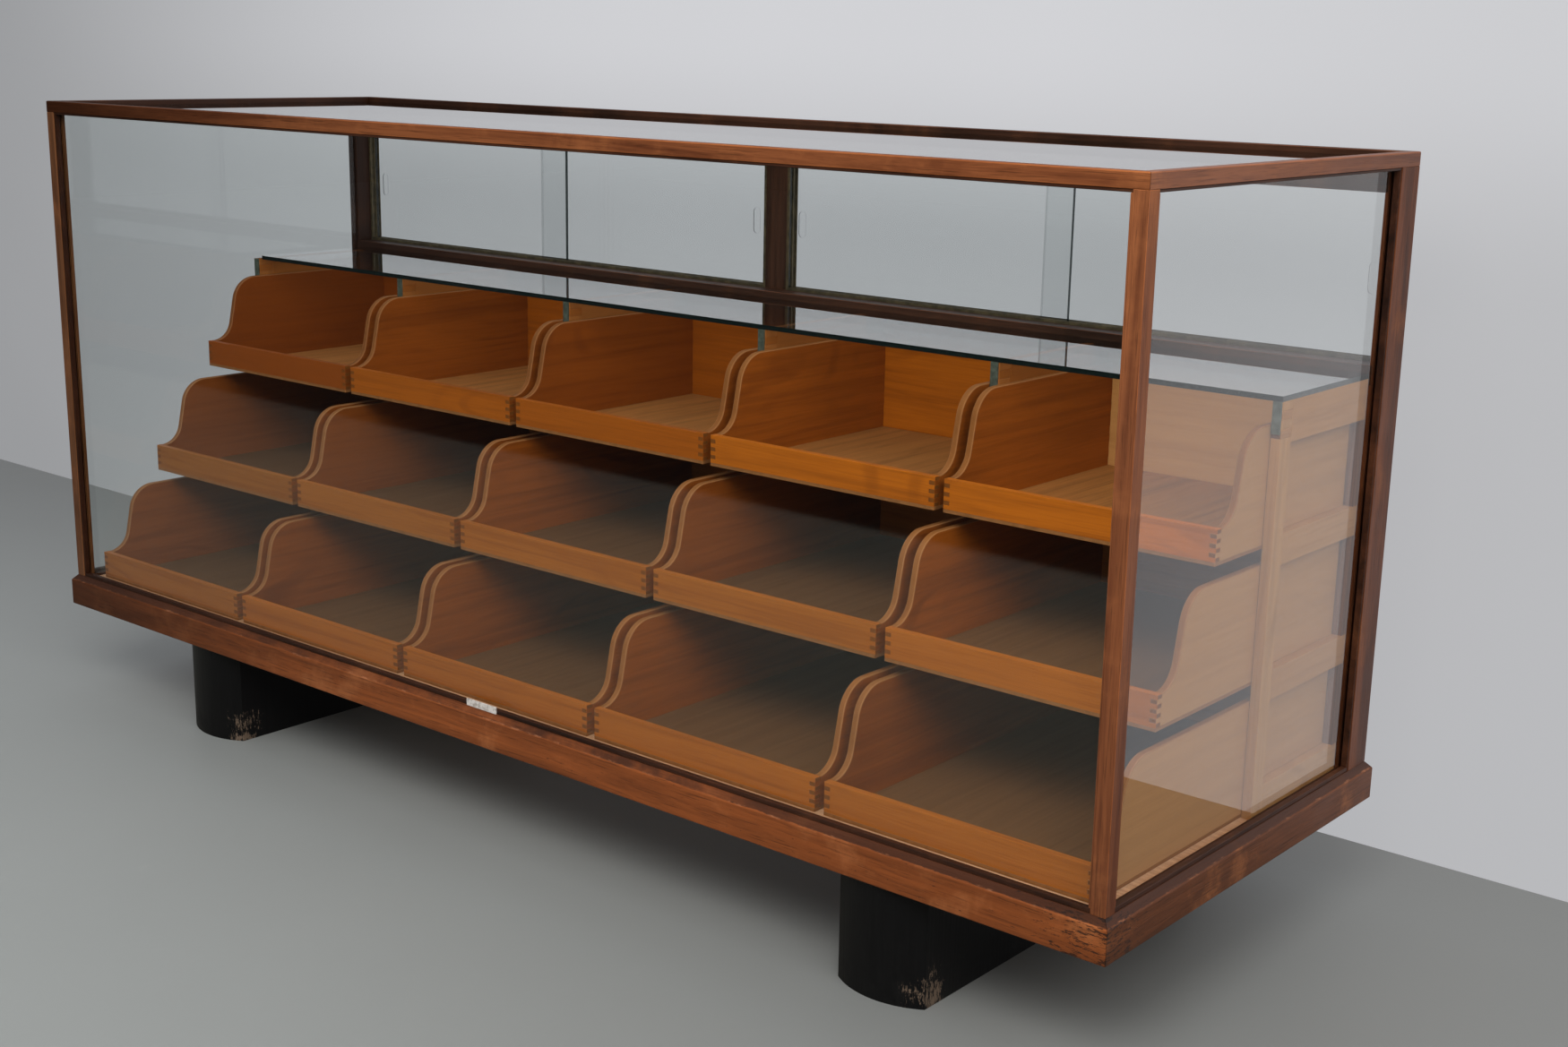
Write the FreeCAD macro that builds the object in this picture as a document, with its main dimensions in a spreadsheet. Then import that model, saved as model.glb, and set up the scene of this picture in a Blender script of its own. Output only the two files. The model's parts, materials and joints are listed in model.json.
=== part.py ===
import FreeCAD, Part
import os
import re
import Sketcher

# A glazed haberdashery counter: a mahogany show case on two black bearers, with three stepped
# tiers of light wood trays behind its front glass and sliding glass doors above them at the back.
# The origin is on the ground under the middle of the whole, +Z up, and the customer's side is -Y.

doc = FreeCAD.newDocument("haberdashery_cabinet")

# ---------------------------------------------------------------- driving dimensions, in mm

DIMENSIONS = {
    # overall
    "base_width": 1830,
    "base_depth": 600,
    "cabinet_height": 887,
    # bearers under the base
    "foot_height": 132,
    "foot_width": 117,
    "foot_setback": 5,
    "foot_bow": 18,
    "foot_left_inset": 338,
    "foot_right_inset": 284,
    # base frame and floor
    "base_rail_height": 46,
    "base_rail_thick": 24,
    "bevel_width": 7.5,
    "bevel_height": 8,
    "floor_drop": 4,
    "floor_thick": 12,
    "tongue_thick": 6,
    "tongue_depth": 8,
    # posts
    "front_post_width": 17,
    "front_post_depth": 18,
    "rear_post_width": 17.6,
    "rear_post_depth": 45,
    "centre_post_width": 38,
    "tenon_side": 10,
    "tenon_length": 8,
    "top_tenon_length": 2.5,
    "housing_depth": 3.5,
    # top frame
    "top_rail_height": 16,
    "top_rail_width": 22,
    "rim_width": 14,
    "top_glass_drop": 7,
    "top_glass_thick": 6,
    "top_glass_gap": 0.5,
    # rear rails
    "head_rail_height": 28,
    "mid_rail_height": 23,
    "mid_rail_top": 653,
    # panes and beads
    "pane_thick": 5,
    "pane_inset": 8.5,
    "pane_bite": 3,
    "bead_width": 3,
    "sill_bead_height": 5,
    "bead_reveal": 1,
    # sliding doors and their channels
    "door_thick": 5,
    "door_overlap": 45,
    "channel_wall": 1.2,
    "channel_depth": 18,
    "channel_fin": 4,
    "head_channel_fin": 16,
    "channel_back": 1,
    "door_lift": 0.3,
    "door_top_bite": 7.5,
    "grip_width": 12,
    "grip_height": 36,
    "grip_depth": 1.2,
    "grip_place": 20,
    "grip_rise": 92,
    # tray stack
    "partition_thick": 11.8,
    "partition_depth": 207.5,
    "partition_post_depth": 24,
    "muntin_depth": 12,
    "top_bar_height": 46,
    "bar_height": 35,
    "bar_drop": 20,
    "bar_finger": 10,
    "peg_radius": 2.5,
    "runner_width": 6,
    "runner_height": 10,
    "plate_width": 10,
    "plate_height": 35,
    "plate_thick": 2,
    "label_length": 54,
    "label_height": 9,
    "label_thick": 1.5,
    "label_place": 13,
    "shelf_thick": 6,
    "shelf_drop": 15,
    "shelf_left_gap": 26,
    "shelf_right_gap": 4,
    # trays
    "tray_side_gap": 0.5,
    "tray_lift": 0.4,
    "tier_step": 101.4,
    "low_tray_setback": 27.9,
    "tray_back_gap": 5.6,
    "tray_top_gap": 7.6,
    "tray_front_height": 39,
    "side_thick": 8,
    "front_thick": 9,
    "back_thick": 12,
    "ply_thick": 4,
    "front_finger": 5,
    "back_finger": 10,
    "curve_start": 8,
    "lower_radius": 32,
    "upper_radius": 40,
    "curve_slope": 78,
    "knob_level": 75,
    "neck_radius": 7,
    "neck_length": 9,
    "head_radius": 14,
    "head_length": 11,
    "head_round": 4,
}

dims = doc.addObject("Spreadsheet::Sheet", "dims")
for row, (alias, value) in enumerate(DIMENSIONS.items(), start=1):
    dims.set(f"A{row}", alias)
    dims.set(f"B{row}", str(value))
    dims.setAlias(f"B{row}", alias)
doc.recompute()

COLUMNS = 5
TIERS = 3
TIER_NAMES = ("bottom", "middle", "top")
FRONT_NOTCHES = 3
BACK_NOTCHES = 6
QUARTER_TURN = 90
COMB_FINGERS = 2


def bound(expression):
    """The expression with every driving dimension in it read from the sheet."""
    return re.sub(r"\b[a-z]+(?:_[a-z]+)+\b", lambda found: "dims." + found.group(0), expression)


def number(expression):
    return float(dims.evalExpression(bound(expression)))


def bind(obj, **settings):
    for prop, expression in settings.items():
        obj.setExpression(prop.replace("__", "."), bound(expression))


def place(obj, x, y, z):
    """Sizes are counted from the middle of the base, but the knobs make the whole reach past its back,
    so the base stands off the origin by half of that."""
    centred = f"{y} - (neck_length + head_length - bevel_width) / 2"
    bind(obj, Placement__Base__x=x, Placement__Base__y=centred, Placement__Base__z=z)
    return obj


# ---------------------------------------------------------------- levels and planes

half_width = "(base_width / 2 - bevel_width)"
half_depth = "(base_depth / 2 - bevel_width)"
base_top = "(foot_height + base_rail_height)"
floor_top = f"({base_top} - floor_drop)"
frame_bottom = "(cabinet_height - top_rail_height)"
head_bottom = f"({frame_bottom} - head_rail_height)"
mid_bottom = "(mid_rail_top - mid_rail_height)"
rear_face = f"({half_depth} - rear_post_depth)"
channel_face = f"({half_depth} - channel_back - channel_depth)"
end_opening = f"({half_width} - rear_post_width)"
muntin_face = f"({rear_face} - muntin_depth)"
partition_front = f"({rear_face} - partition_depth)"
partition_top = "(mid_rail_top - shelf_drop)"

# The trays and the partitions between and beside them fill the width between the rear posts, and
# the height between floor and middle rail.
column_pitch = f"((2 * {end_opening} - partition_thick) / {COLUMNS})"
tier_pitch = f"(({mid_bottom} - {floor_top}) / {TIERS})"
tray_width = f"({column_pitch} - partition_thick - 2 * tray_side_gap)"
tray_back_height = f"({tier_pitch} - tray_lift - tray_back_gap)"
tray_side_height = f"({tier_pitch} - tray_lift - runner_height - tray_top_gap)"


# ---------------------------------------------------------------- ways of making a piece


def box(label, size, corner):
    made = doc.addObject("Part::Box", label)
    bind(made, Length=size[0], Width=size[1], Height=size[2])
    return place(made, *corner)


def group(label, pieces):
    made = doc.addObject("Part::Compound", label)
    made.Links = pieces
    return made


def cut(label, base, *tools):
    made = doc.addObject("Part::Cut", label)
    made.Base = base
    made.Tool = tools[0] if len(tools) == 1 else group(f"{label}_cutters", list(tools))
    return made


def fuse(label, *pieces):
    made = doc.addObject("Part::MultiFuse", label)
    made.Shapes = list(pieces)
    return made


def origin_plane(body, role):
    return next(plane for plane in body.Origin.OriginFeatures if plane.Role == role)


def outline(body, name, role, corners, arcs=()):
    """A closed sketch through corners, pairs of expressions, on one of the body's origin planes.
    arcs gives, by the number of the side that it replaces, the arc's radius and its turn (+1 to the left)."""
    sketch = body.newObject("Sketcher::SketchObject", name)
    sketch.AttachmentSupport = [(origin_plane(body, role), "")]
    sketch.MapMode = "FlatFace"
    arcs = dict(arcs)
    spots = [FreeCAD.Vector(number(x), number(y), 0) for x, y in corners]
    starts = []
    for side, (start, end) in enumerate(zip(spots, spots[1:] + spots[:1])):
        if side in arcs:
            radius, turn = arcs[side]
            sketch.addGeometry(bow(start, end, number(radius), turn))
            starts.append(1 if turn > 0 else 2)
        else:
            sketch.addGeometry(Part.LineSegment(start, end))
            starts.append(1)
    for side, (x, y) in enumerate(corners):
        before = (side - 1) % len(corners)
        join = Sketcher.Constraint("Coincident", before, 3 - starts[before], side, starts[side])
        sketch.addConstraint(join)
        hold(sketch, side, starts[side], "DistanceX", x, -2)
        hold(sketch, side, starts[side], "DistanceY", y, -1)
        if side in arcs:
            last = sketch.addConstraint(Sketcher.Constraint("Radius", side, number(arcs[side][0])))
            sketch.setExpression(f"Constraints[{last}]", bound(arcs[side][0]))
    return sketch


def hold(sketch, side, end, kind, expression, axis):
    """Holds one end of a side at a distance from the sketch's origin, or on its axis."""
    if expression == "0":
        sketch.addConstraint(Sketcher.Constraint("PointOnObject", side, end, axis))
        return
    last = sketch.addConstraint(Sketcher.Constraint(kind, side, end, number(expression)))
    sketch.setExpression(f"Constraints[{last}]", bound(expression))


def bow(start, end, radius, turn):
    """The arc of that radius from start to end, bending to the left for turn 1 and to the right for -1."""
    chord = end - start
    middle = (start + end) * 0.5
    across = FreeCAD.Vector(-chord.y, chord.x, 0).normalize() * turn
    centre = middle + across * (radius**2 - (chord.Length / 2) ** 2) ** 0.5
    circle = Part.Circle(centre, FreeCAD.Vector(0, 0, 1), radius)
    first, last = (start, end) if turn > 0 else (end, start)
    return Part.ArcOfCircle(circle, circle.parameter(first), circle.parameter(last))


def padded_body(label, role, corners, length, arcs=(), middle=False):
    body = doc.addObject("PartDesign::Body", label)
    sketch = outline(body, f"{label}_outline", role, corners, arcs)
    pad = body.newObject("PartDesign::Pad", f"{label}_pad")
    pad.Profile = sketch
    if middle:
        pad.SideType = "Symmetric"
    bind(pad, Length=length)
    return body


def mitred_rail(label, profile, length, thick, turn, x, y, z):
    """A rail with mitred ends, which runs along X with its outer face on Y = 0 before its quarter turns."""
    body = padded_body(label, "YZ_Plane", profile, length, middle=True)
    doc.recompute()
    square = body.Shape.Volume
    waste = [
        (f"{length} / 2", "0"),
        (f"{length} / 2 + {thick}", "0"),
        (f"{length} / 2 + {thick}", thick),
        (f"{length} / 2 - {thick}", thick),
    ]
    sketch = outline(body, f"{label}_mitre_outline", "XY_Plane", waste)
    mitre = body.newObject("PartDesign::Pocket", f"{label}_mitre")
    mitre.Profile = sketch
    mitre.Type = "ThroughAll"
    mitre.Reversed = True
    doc.recompute()
    if body.Shape.Volume >= square - 1:
        raise RuntimeError(f"{label}: the mitre cuts nothing")
    other_end = body.newObject("PartDesign::Mirrored", f"{label}_other_mitre")
    other_end.Originals = [mitre]
    other_end.MirrorPlane = (origin_plane(body, "YZ_Plane"), [""])
    body.Tip = other_end
    body.Placement.Rotation = FreeCAD.Rotation(FreeCAD.Vector(0, 0, 1), turn * QUARTER_TURN)
    return place(body, x, y, z)


sub_parts = {}


def keep(node, obj):
    obj.Label = node
    sub_parts[node] = obj
    return obj


# ---------------------------------------------------------------- panes and glass shelf

# Each pane's edges stand in grooves of the posts, the base rails and the top rails.
pane_bottom = f"({base_top} - pane_bite)"
pane_height = f"({frame_bottom} - {base_top} + 2 * pane_bite)"
front_opening = f"({half_width} - front_post_width)"

front_pane = box(
    "front_pane",
    (f"2 * ({front_opening} + pane_bite)", "pane_thick", pane_height),
    (f"-({front_opening} + pane_bite)", f"-({half_depth} - pane_inset)", pane_bottom),
)
end_pane_front = f"-({half_depth} - front_post_depth + pane_bite)"
end_pane_size = ("pane_thick", f"{rear_face} + pane_bite - {end_pane_front}", pane_height)
left_pane = box(
    "left_end_pane", end_pane_size, (f"-({half_width} - pane_inset)", end_pane_front, pane_bottom)
)
right_pane = box(
    "right_end_pane",
    end_pane_size,
    (f"{half_width} - pane_inset - pane_thick", end_pane_front, pane_bottom),
)
top_reach_x = f"({half_width} - rim_width - top_glass_gap)"
top_reach_y = f"({half_depth} - rim_width - top_glass_gap)"
top_pane = box(
    "top_pane",
    (f"2 * {top_reach_x}", f"2 * {top_reach_y}", "top_glass_thick"),
    (f"-{top_reach_x}", f"-{top_reach_y}", "cabinet_height - top_glass_drop - top_glass_thick"),
)
# The loose shelf lies on the partitions, pushed against the right-hand end.
shelf_left = f"(-{half_width} + pane_inset + pane_thick + shelf_left_gap)"
shelf_right = f"({half_width} - pane_inset - pane_thick - shelf_right_gap)"
shelf = box(
    "glass_shelf",
    (
        f"{shelf_right} - {shelf_left}",
        f"{rear_face} - tray_lift - {partition_front} + plate_thick",
        "shelf_thick",
    ),
    (shelf_left, f"{partition_front} - plate_thick", partition_top),
)
for glass in (front_pane, left_pane, right_pane, top_pane, shelf):
    keep(glass.Label, glass)


# ---------------------------------------------------------------- rear rails


def rear_rail(label, height, bottom):
    """A rail between the rear posts, let into both."""
    reach = f"({end_opening} + housing_depth)"
    return box(
        f"{label}_blank",
        (f"2 * {reach}", "rear_post_depth", height),
        (f"-{reach}", rear_face, bottom),
    )


head_blank = rear_rail("head_rail", "head_rail_height", head_bottom)
mid_blank = rear_rail("rear_mid_rail", "mid_rail_height", mid_bottom)

head_groove = box(
    "head_rail_groove",
    (f"2 * {end_opening}", "channel_depth", "head_channel_fin"),
    (f"-{end_opening}", channel_face, head_bottom),
)

centre_body = box(
    "centre_post_body",
    ("centre_post_width", f"{half_depth} - {channel_face}", f"{head_bottom} - mid_rail_top"),
    ("-centre_post_width / 2", channel_face, "mid_rail_top"),
)
centre_tenon = box(
    "centre_post_tenon",
    (
        "tenon_side",
        "tenon_side",
        f"{head_bottom} - mid_rail_top + tenon_length + head_channel_fin + housing_depth",
    ),
    ("-tenon_side / 2", f"{channel_face} + channel_wall * 3", "mid_rail_top - tenon_length"),
)
centre_post = fuse("rear_centre_post", centre_body, centre_tenon)
keep("rear_centre_post", centre_post)


# ---------------------------------------------------------------- rear muntins between the trays

muntin_height = f"({mid_bottom} - {floor_top})"


def partition_place(number_from_left):
    """The middle of a partition, counted from the left, across the cabinet."""
    return f"({number_from_left} - {COLUMNS / 2}) * {column_pitch}"


def bar_levels():
    """(bottom, height) of the bars of a partition, from the lowest to the top bar."""
    levels = [(floor_top, "bar_height")]
    for tier in range(1, TIERS):
        levels.append((f"{floor_top} + {tier} * {tier_pitch} + tray_lift - bar_drop", "bar_height"))
    levels.append((f"{partition_top} - top_bar_height", "top_bar_height"))
    return levels


def partition_bars(name, centre):
    """The bars of one partition, which run through its front post's notches and into its muntin."""
    bars = []
    left = f"{centre} - partition_thick / 2"
    for index, (bottom, height) in enumerate(bar_levels()):
        start = f"{partition_front} + partition_post_depth"
        bars.append(
            box(
                f"{name}_bar_{index}",
                ("partition_thick", f"{rear_face} - ({start})", height),
                (left, start, bottom),
            )
        )
    return bars


partitions = []
muntins = []
for index in range(COLUMNS + 1):
    name = f"partition_{index + 1}"
    centre = partition_place(index)
    left = f"{centre} - partition_thick / 2"
    bars = partition_bars(name, centre)

    # The top bar ends in fingers that pass through the front post.
    fingers = []
    for finger in range(COMB_FINGERS):
        level = f"{partition_top} - ({2 * finger + 2}) * bar_finger"
        fingers.append(
            box(
                f"{name}_finger_{finger}",
                ("partition_thick", "partition_post_depth", "bar_finger"),
                (left, partition_front, level),
            )
        )
    top_bar = fuse(f"{name}_top_bar", bars[-1], *fingers)
    peg = doc.addObject("Part::Cylinder", f"{name}_peg")
    bind(peg, Radius="peg_radius", Height="partition_thick")
    peg.Placement.Rotation = FreeCAD.Rotation(FreeCAD.Vector(0, 1, 0), QUARTER_TURN)
    place(
        peg,
        left,
        f"{partition_front} + partition_post_depth / 2",
        f"{partition_top} - 1.5 * bar_finger",
    )
    post = box(
        f"{name}_post_blank",
        ("partition_thick", "partition_post_depth", f"{partition_top} - {floor_top}"),
        (left, partition_front, floor_top),
    )
    post = cut(f"{name}_post", post, top_bar)
    pieces = [cut(f"{name}_drilled_post", post, peg), cut(f"{name}_drilled_bar", top_bar, peg), peg]
    partition = group(name, pieces + bars[:-1])
    keep(name, partition)
    partitions.append(partition)

    muntin = box(
        f"muntin_blank_{index + 1}",
        ("partition_thick", f"{half_depth} - {muntin_face}", muntin_height),
        (left, muntin_face, floor_top),
    )
    muntins.append(cut(f"muntin_{index + 1}", muntin, *bars))
keep("rear_muntins", group("rear_muntins", muntins))

# Small plates on the fronts of the partitions stop the glass shelf.
plates = []
for index in range(COLUMNS + 1):
    plates.append(
        box(
            f"shelf_plate_{index + 1}",
            ("plate_width", "plate_thick", "plate_height"),
            (
                f"{partition_place(index)} - plate_width / 2",
                f"{partition_front} - plate_thick",
                f"{partition_top} - plate_height",
            ),
        )
    )
keep("shelf_plates", group("shelf_plates", plates))

# Runners on both sides of the partitions carry the trays of the upper tiers.
runners = []
for index in range(COLUMNS + 1):
    centre = partition_place(index)
    sides = [f"{centre} + partition_thick / 2"] if index < COLUMNS else []
    if index > 0:
        sides.append(f"{centre} - partition_thick / 2 - runner_width")
    for tier in range(1, TIERS):
        for side, left in enumerate(sides):
            runners.append(
                box(
                    f"runner_{index + 1}_{tier}_{side}",
                    (
                        "runner_width",
                        f"{muntin_face} - {partition_front} - partition_post_depth / 2",
                        "runner_height",
                    ),
                    (
                        left,
                        f"{partition_front} + partition_post_depth / 2",
                        f"{floor_top} + {tier} * {tier_pitch} - runner_height",
                    ),
                )
            )
keep("tray_runners", group("tray_runners", runners))


# ---------------------------------------------------------------- corner posts

post_height = f"({frame_bottom} - {base_top})"


def corner_post(label, side, face, width, depth):
    """A corner post with a stub tenon at both ends. side is -1 at the left, face -1 at the front."""
    left = f"-{half_width}" if side < 0 else f"{half_width} - {width}"
    front = f"-{half_depth}" if face < 0 else f"{half_depth} - {depth}"
    body = box(f"{label}_body", (width, depth, post_height), (left, front, base_top))
    tenon = box(
        f"{label}_tenon",
        ("tenon_side", "tenon_side", f"{post_height} + tenon_length + top_tenon_length"),
        (
            f"{left} + ({width} - tenon_side) / 2",
            f"{front} + ({depth} - tenon_side) / 2",
            f"{base_top} - tenon_length",
        ),
    )
    return fuse(f"{label}_blank", body, tenon)


posts = []
for side, hand in ((-1, "left"), (1, "right")):
    label = f"front_{hand}_post"
    blank = corner_post(label, side, -1, "front_post_width", "front_post_depth")
    end_pane = left_pane if side < 0 else right_pane
    post = keep(label, cut(label, blank, front_pane, end_pane))
    posts.append(post)

    label = f"rear_{hand}_post"
    blank = corner_post(label, side, 1, "rear_post_width", "rear_post_depth")
    post = keep(label, cut(label, blank, end_pane, head_blank, mid_blank))
    posts.append(post)


# ---------------------------------------------------------------- rear rails, cut to fit

keep("head_rail", cut("head_rail", head_blank, head_groove, centre_post))
keep("rear_mid_rail", cut("rear_mid_rail", mid_blank, centre_post))


# ---------------------------------------------------------------- floor and base frame

inner_width = "(base_width / 2 - base_rail_thick)"
inner_depth = "(base_depth / 2 - base_rail_thick)"
floor_board = box(
    "floor_board_body",
    (f"2 * {inner_width}", f"2 * {inner_depth}", "floor_thick"),
    (f"-{inner_width}", f"-{inner_depth}", f"{floor_top} - floor_thick"),
)
floor_tongue = box(
    "floor_board_tongue",
    (
        f"2 * {inner_width} + 2 * tongue_depth",
        f"2 * {inner_depth} + 2 * tongue_depth",
        "tongue_thick",
    ),
    (
        f"-{inner_width} - tongue_depth",
        f"-{inner_depth} - tongue_depth",
        f"{floor_top} - floor_thick",
    ),
)
floor = fuse("floor_board_blank", floor_board, floor_tongue)
floor = keep("floor_board", cut("floor_board", floor, *posts))

base_profile = [
    ("0", "0"),
    ("base_rail_thick", "0"),
    ("base_rail_thick", "base_rail_height"),
    ("bevel_width", "base_rail_height"),
    ("0", "base_rail_height - bevel_height"),
]
base_half_width = "(base_width / 2)"
base_half_depth = "(base_depth / 2)"
base_rails = {
    "base_front_rail": ("base_width", 0, "0", f"-{base_half_depth}"),
    "base_back_rail": ("base_width", 2, "0", base_half_depth),
    "base_right_rail": ("base_depth", 1, base_half_width, "0"),
    "base_left_rail": ("base_depth", -1, f"-{base_half_width}", "0"),
}
# Between the rear posts the back rail is lowered to the floor, so that the bottom trays pass.
sill_cutter = box(
    "tray_sill_cutter",
    (f"2 * {end_opening}", "base_rail_thick", "floor_drop"),
    (f"-{end_opening}", f"{base_half_depth} - base_rail_thick", floor_top),
)
for node, (length, turn, x, y) in base_rails.items():
    blank = mitred_rail(
        f"{node}_blank", base_profile, length, "base_rail_thick", turn, x, y, "foot_height"
    )
    tools = [floor, *posts, front_pane, left_pane, right_pane]
    if node == "base_back_rail":
        tools.append(sill_cutter)
    keep(node, cut(node, blank, *tools))


# ---------------------------------------------------------------- top frame

# The top glass drops into the rebate behind the rim and lies on the ledge below it.
ledge = "(top_rail_height - top_glass_drop - top_glass_thick)"
top_profile = [
    ("0", "0"),
    ("top_rail_width", "0"),
    ("top_rail_width", ledge),
    ("rim_width", ledge),
    ("rim_width", "top_rail_height"),
    ("0", "top_rail_height"),
]
carcass_width = f"2 * {half_width}"
carcass_depth = f"2 * {half_depth}"
top_rails = {
    "top_front_rail": (carcass_width, 0, "0", f"-{half_depth}"),
    "top_back_rail": (carcass_width, 2, "0", half_depth),
    "top_right_rail": (carcass_depth, 1, half_width, "0"),
    "top_left_rail": (carcass_depth, -1, f"-{half_width}", "0"),
}
for node, (length, turn, x, y) in top_rails.items():
    blank = mitred_rail(
        f"{node}_blank", top_profile, length, "top_rail_width", turn, x, y, frame_bottom
    )
    keep(node, cut(node, blank, *posts, front_pane, left_pane, right_pane))


# ---------------------------------------------------------------- glazing beads


def beads(node, size_along, corner_along, across):
    """Four beads that hold a pane from outside, the upright ones between the level ones.
    across is (axis, lowest coordinate) of the direction through the pane."""
    axis, near = across
    thick = "pane_inset - bead_reveal"
    tall = f"{post_height} - bead_width - sill_bead_height"
    made = []
    for name, bottom, height in (
        ("lower", base_top, "sill_bead_height"),
        ("upper", f"{frame_bottom} - bead_width", "bead_width"),
    ):
        size = (size_along, thick) if axis == "y" else (thick, size_along)
        spot = (corner_along, near) if axis == "y" else (near, corner_along)
        made.append(box(f"{node}_{name}", (*size, height), (*spot, bottom)))
    for name, start in (
        ("first", corner_along),
        ("second", f"{corner_along} + {size_along} - bead_width"),
    ):
        size = ("bead_width", thick) if axis == "y" else (thick, "bead_width")
        spot = (start, near) if axis == "y" else (near, start)
        made.append(box(f"{node}_{name}", (*size, tall), (*spot, f"{base_top} + sill_bead_height")))
    keep(node, group(node, made))


end_start = f"-({half_depth} - front_post_depth)"
end_length = f"({rear_face} + {half_depth} - front_post_depth)"
beads(
    "front_beads",
    f"2 * {front_opening}",
    f"-{front_opening}",
    ("y", f"-{half_depth} + bead_reveal"),
)
keep(
    "sill_label",
    box(
        "sill_label",
        ("label_length", "label_thick", "label_height"),
        (
            "label_place - label_length / 2",
            f"bead_reveal - {half_depth} - label_thick",
            base_top,
        ),
    ),
)
beads("left_end_beads", end_length, end_start, ("x", f"-{half_width} + bead_reveal"))
beads("right_end_beads", end_length, end_start, ("x", f"{half_width} - pane_inset"))


# ---------------------------------------------------------------- sliding doors and channels

slot_pitch = "((channel_depth - channel_wall) / 2)"


def channel(label, size, corner, fin, along, inward):
    """A channel with two slots. size and corner are those of its back strip, the fins grow inward from it
    along the axis with that number, 0 for x and 2 for z, up (+1) or down (-1) that axis."""
    strip = box(f"{label}_back", size, corner)
    pieces = [strip]
    for number_of_fin in range(3):
        fin_size = list(size)
        fin_size[1] = "channel_wall"
        fin_size[along] = fin
        fin_corner = list(corner)
        fin_corner[1] = f"{corner[1]} + {number_of_fin} * {slot_pitch}"
        if inward < 0:
            fin_corner[along] = f"{corner[along]} + channel_wall - {fin}"
        pieces.append(box(f"{label}_fin_{number_of_fin}", fin_size, fin_corner))
    return fuse(label, *pieces)


bay_length = f"({end_opening} - centre_post_width / 2)"
lower_channels = []
upper_channels = []
side_channels = []
for side, hand in ((-1, "left"), (1, "right")):
    start = f"-{end_opening}" if side < 0 else "centre_post_width / 2"
    level_size = (bay_length, "channel_depth", "channel_wall")
    lower_channels.append(
        channel(
            f"lower_channel_{hand}",
            level_size,
            (start, channel_face, "mid_rail_top"),
            "channel_fin",
            2,
            1,
        )
    )
    upper_channels.append(
        channel(
            f"upper_channel_{hand}",
            level_size,
            (start, channel_face, f"{head_bottom} + head_channel_fin - channel_wall"),
            "head_channel_fin",
            2,
            -1,
        )
    )
    upright_size = (
        "channel_wall",
        "channel_depth",
        f"{head_bottom} - mid_rail_top - channel_fin",
    )
    for place_name, x, inward in (
        ("jamb", end_opening, -1),
        ("centre", "centre_post_width / 2", 1),
    ):
        if side < 0:
            x, inward = f"-({x}) - channel_wall", -inward
            if place_name == "jamb":
                x = f"-{end_opening}"
        elif place_name == "jamb":
            x = f"{end_opening} - channel_wall"
        side_channels.append(
            channel(
                f"side_channel_{place_name}_{hand}",
                upright_size,
                (x, channel_face, "mid_rail_top + channel_fin"),
                "channel_fin",
                0,
                inward,
            )
        )
keep("lower_door_channels", group("lower_door_channels", lower_channels))
keep("upper_door_channels", group("upper_door_channels", upper_channels))
keep("upright_door_channels", group("upright_door_channels", side_channels))

# The two doors of a bay run in different slots, so each slides behind the other.
door_gap = "(2 * channel_wall)"
door_width = f"(({bay_length} - 2 * {door_gap} + door_overlap) / 2)"
door_bottom = "(mid_rail_top + channel_wall + door_lift)"
door_height = f"({head_bottom} + door_top_bite - {door_bottom})"
slot_clearance = f"(({slot_pitch} - channel_wall - door_thick) / 2)"
front_slot = f"({channel_face} + channel_wall + {slot_clearance})"


def door(node, side, outer):
    """A glass door with an oval finger grip ground into its rear face near the edge it is pulled by."""
    inner_edge = f"centre_post_width / 2 + {door_gap}"
    outer_start = f"{end_opening} - {door_gap} - {door_width}"
    start = outer_start if outer else inner_edge
    if side < 0:
        start = f"-({start}) - {door_width}"
    front = f"{front_slot} + {slot_pitch}" if outer else front_slot
    pane = box(f"{node}_pane", (door_width, "door_thick", door_height), (start, front, door_bottom))
    near_right_edge = outer == (side > 0)
    middle = f"{start} + {door_width} - grip_place" if near_right_edge else f"{start} + grip_place"
    grip_face = f"{front} + door_thick - grip_depth"
    slot = box(
        f"{node}_grip_middle",
        ("grip_width", "2 * grip_depth", "grip_height - grip_width"),
        (f"{middle} - grip_width / 2", grip_face, "mid_rail_top + grip_rise - (grip_height - grip_width) / 2"),
    )
    ends = []
    for index, sign in enumerate(("-", "+")):
        end = doc.addObject("Part::Cylinder", f"{node}_grip_end_{index}")
        bind(end, Radius="grip_width / 2", Height="2 * grip_depth")
        end.Placement.Rotation = FreeCAD.Rotation(FreeCAD.Vector(1, 0, 0), -QUARTER_TURN)
        place(end, middle, grip_face, f"mid_rail_top + grip_rise {sign} (grip_height - grip_width) / 2")
        ends.append(end)
    grip = fuse(f"{node}_grip", slot, *ends)
    keep(node, cut(node, pane, grip))


door("left_outer_door", -1, True)
door("left_inner_door", -1, False)
door("right_inner_door", 1, False)
door("right_outer_door", 1, True)


# ---------------------------------------------------------------- trays

bend_sin = "sin(curve_slope * 1deg)"
bend_cos = "cos(curve_slope * 1deg)"
lower_end = (
    f"curve_start + lower_radius * {bend_sin}",
    f"tray_front_height + lower_radius * (1 - {bend_cos})",
)
upper_start_z = f"({tray_side_height} - upper_radius * (1 - {bend_cos}))"
upper_start_y = f"({lower_end[0]} + ({upper_start_z} - ({lower_end[1]})) / tan(curve_slope * 1deg))"
upper_end_y = f"({upper_start_y} + upper_radius * {bend_sin})"


def notch_boxes(label, left, front, thick, finger, bottom, count):
    """The slots at one end of a tray's front or back that take the side's fingers."""
    return [
        box(
            f"{label}_{index}",
            ("side_thick", thick, finger),
            (left, front, f"{bottom} + {2 * index + 1} * {finger}"),
        )
        for index in range(count)
    ]


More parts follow.
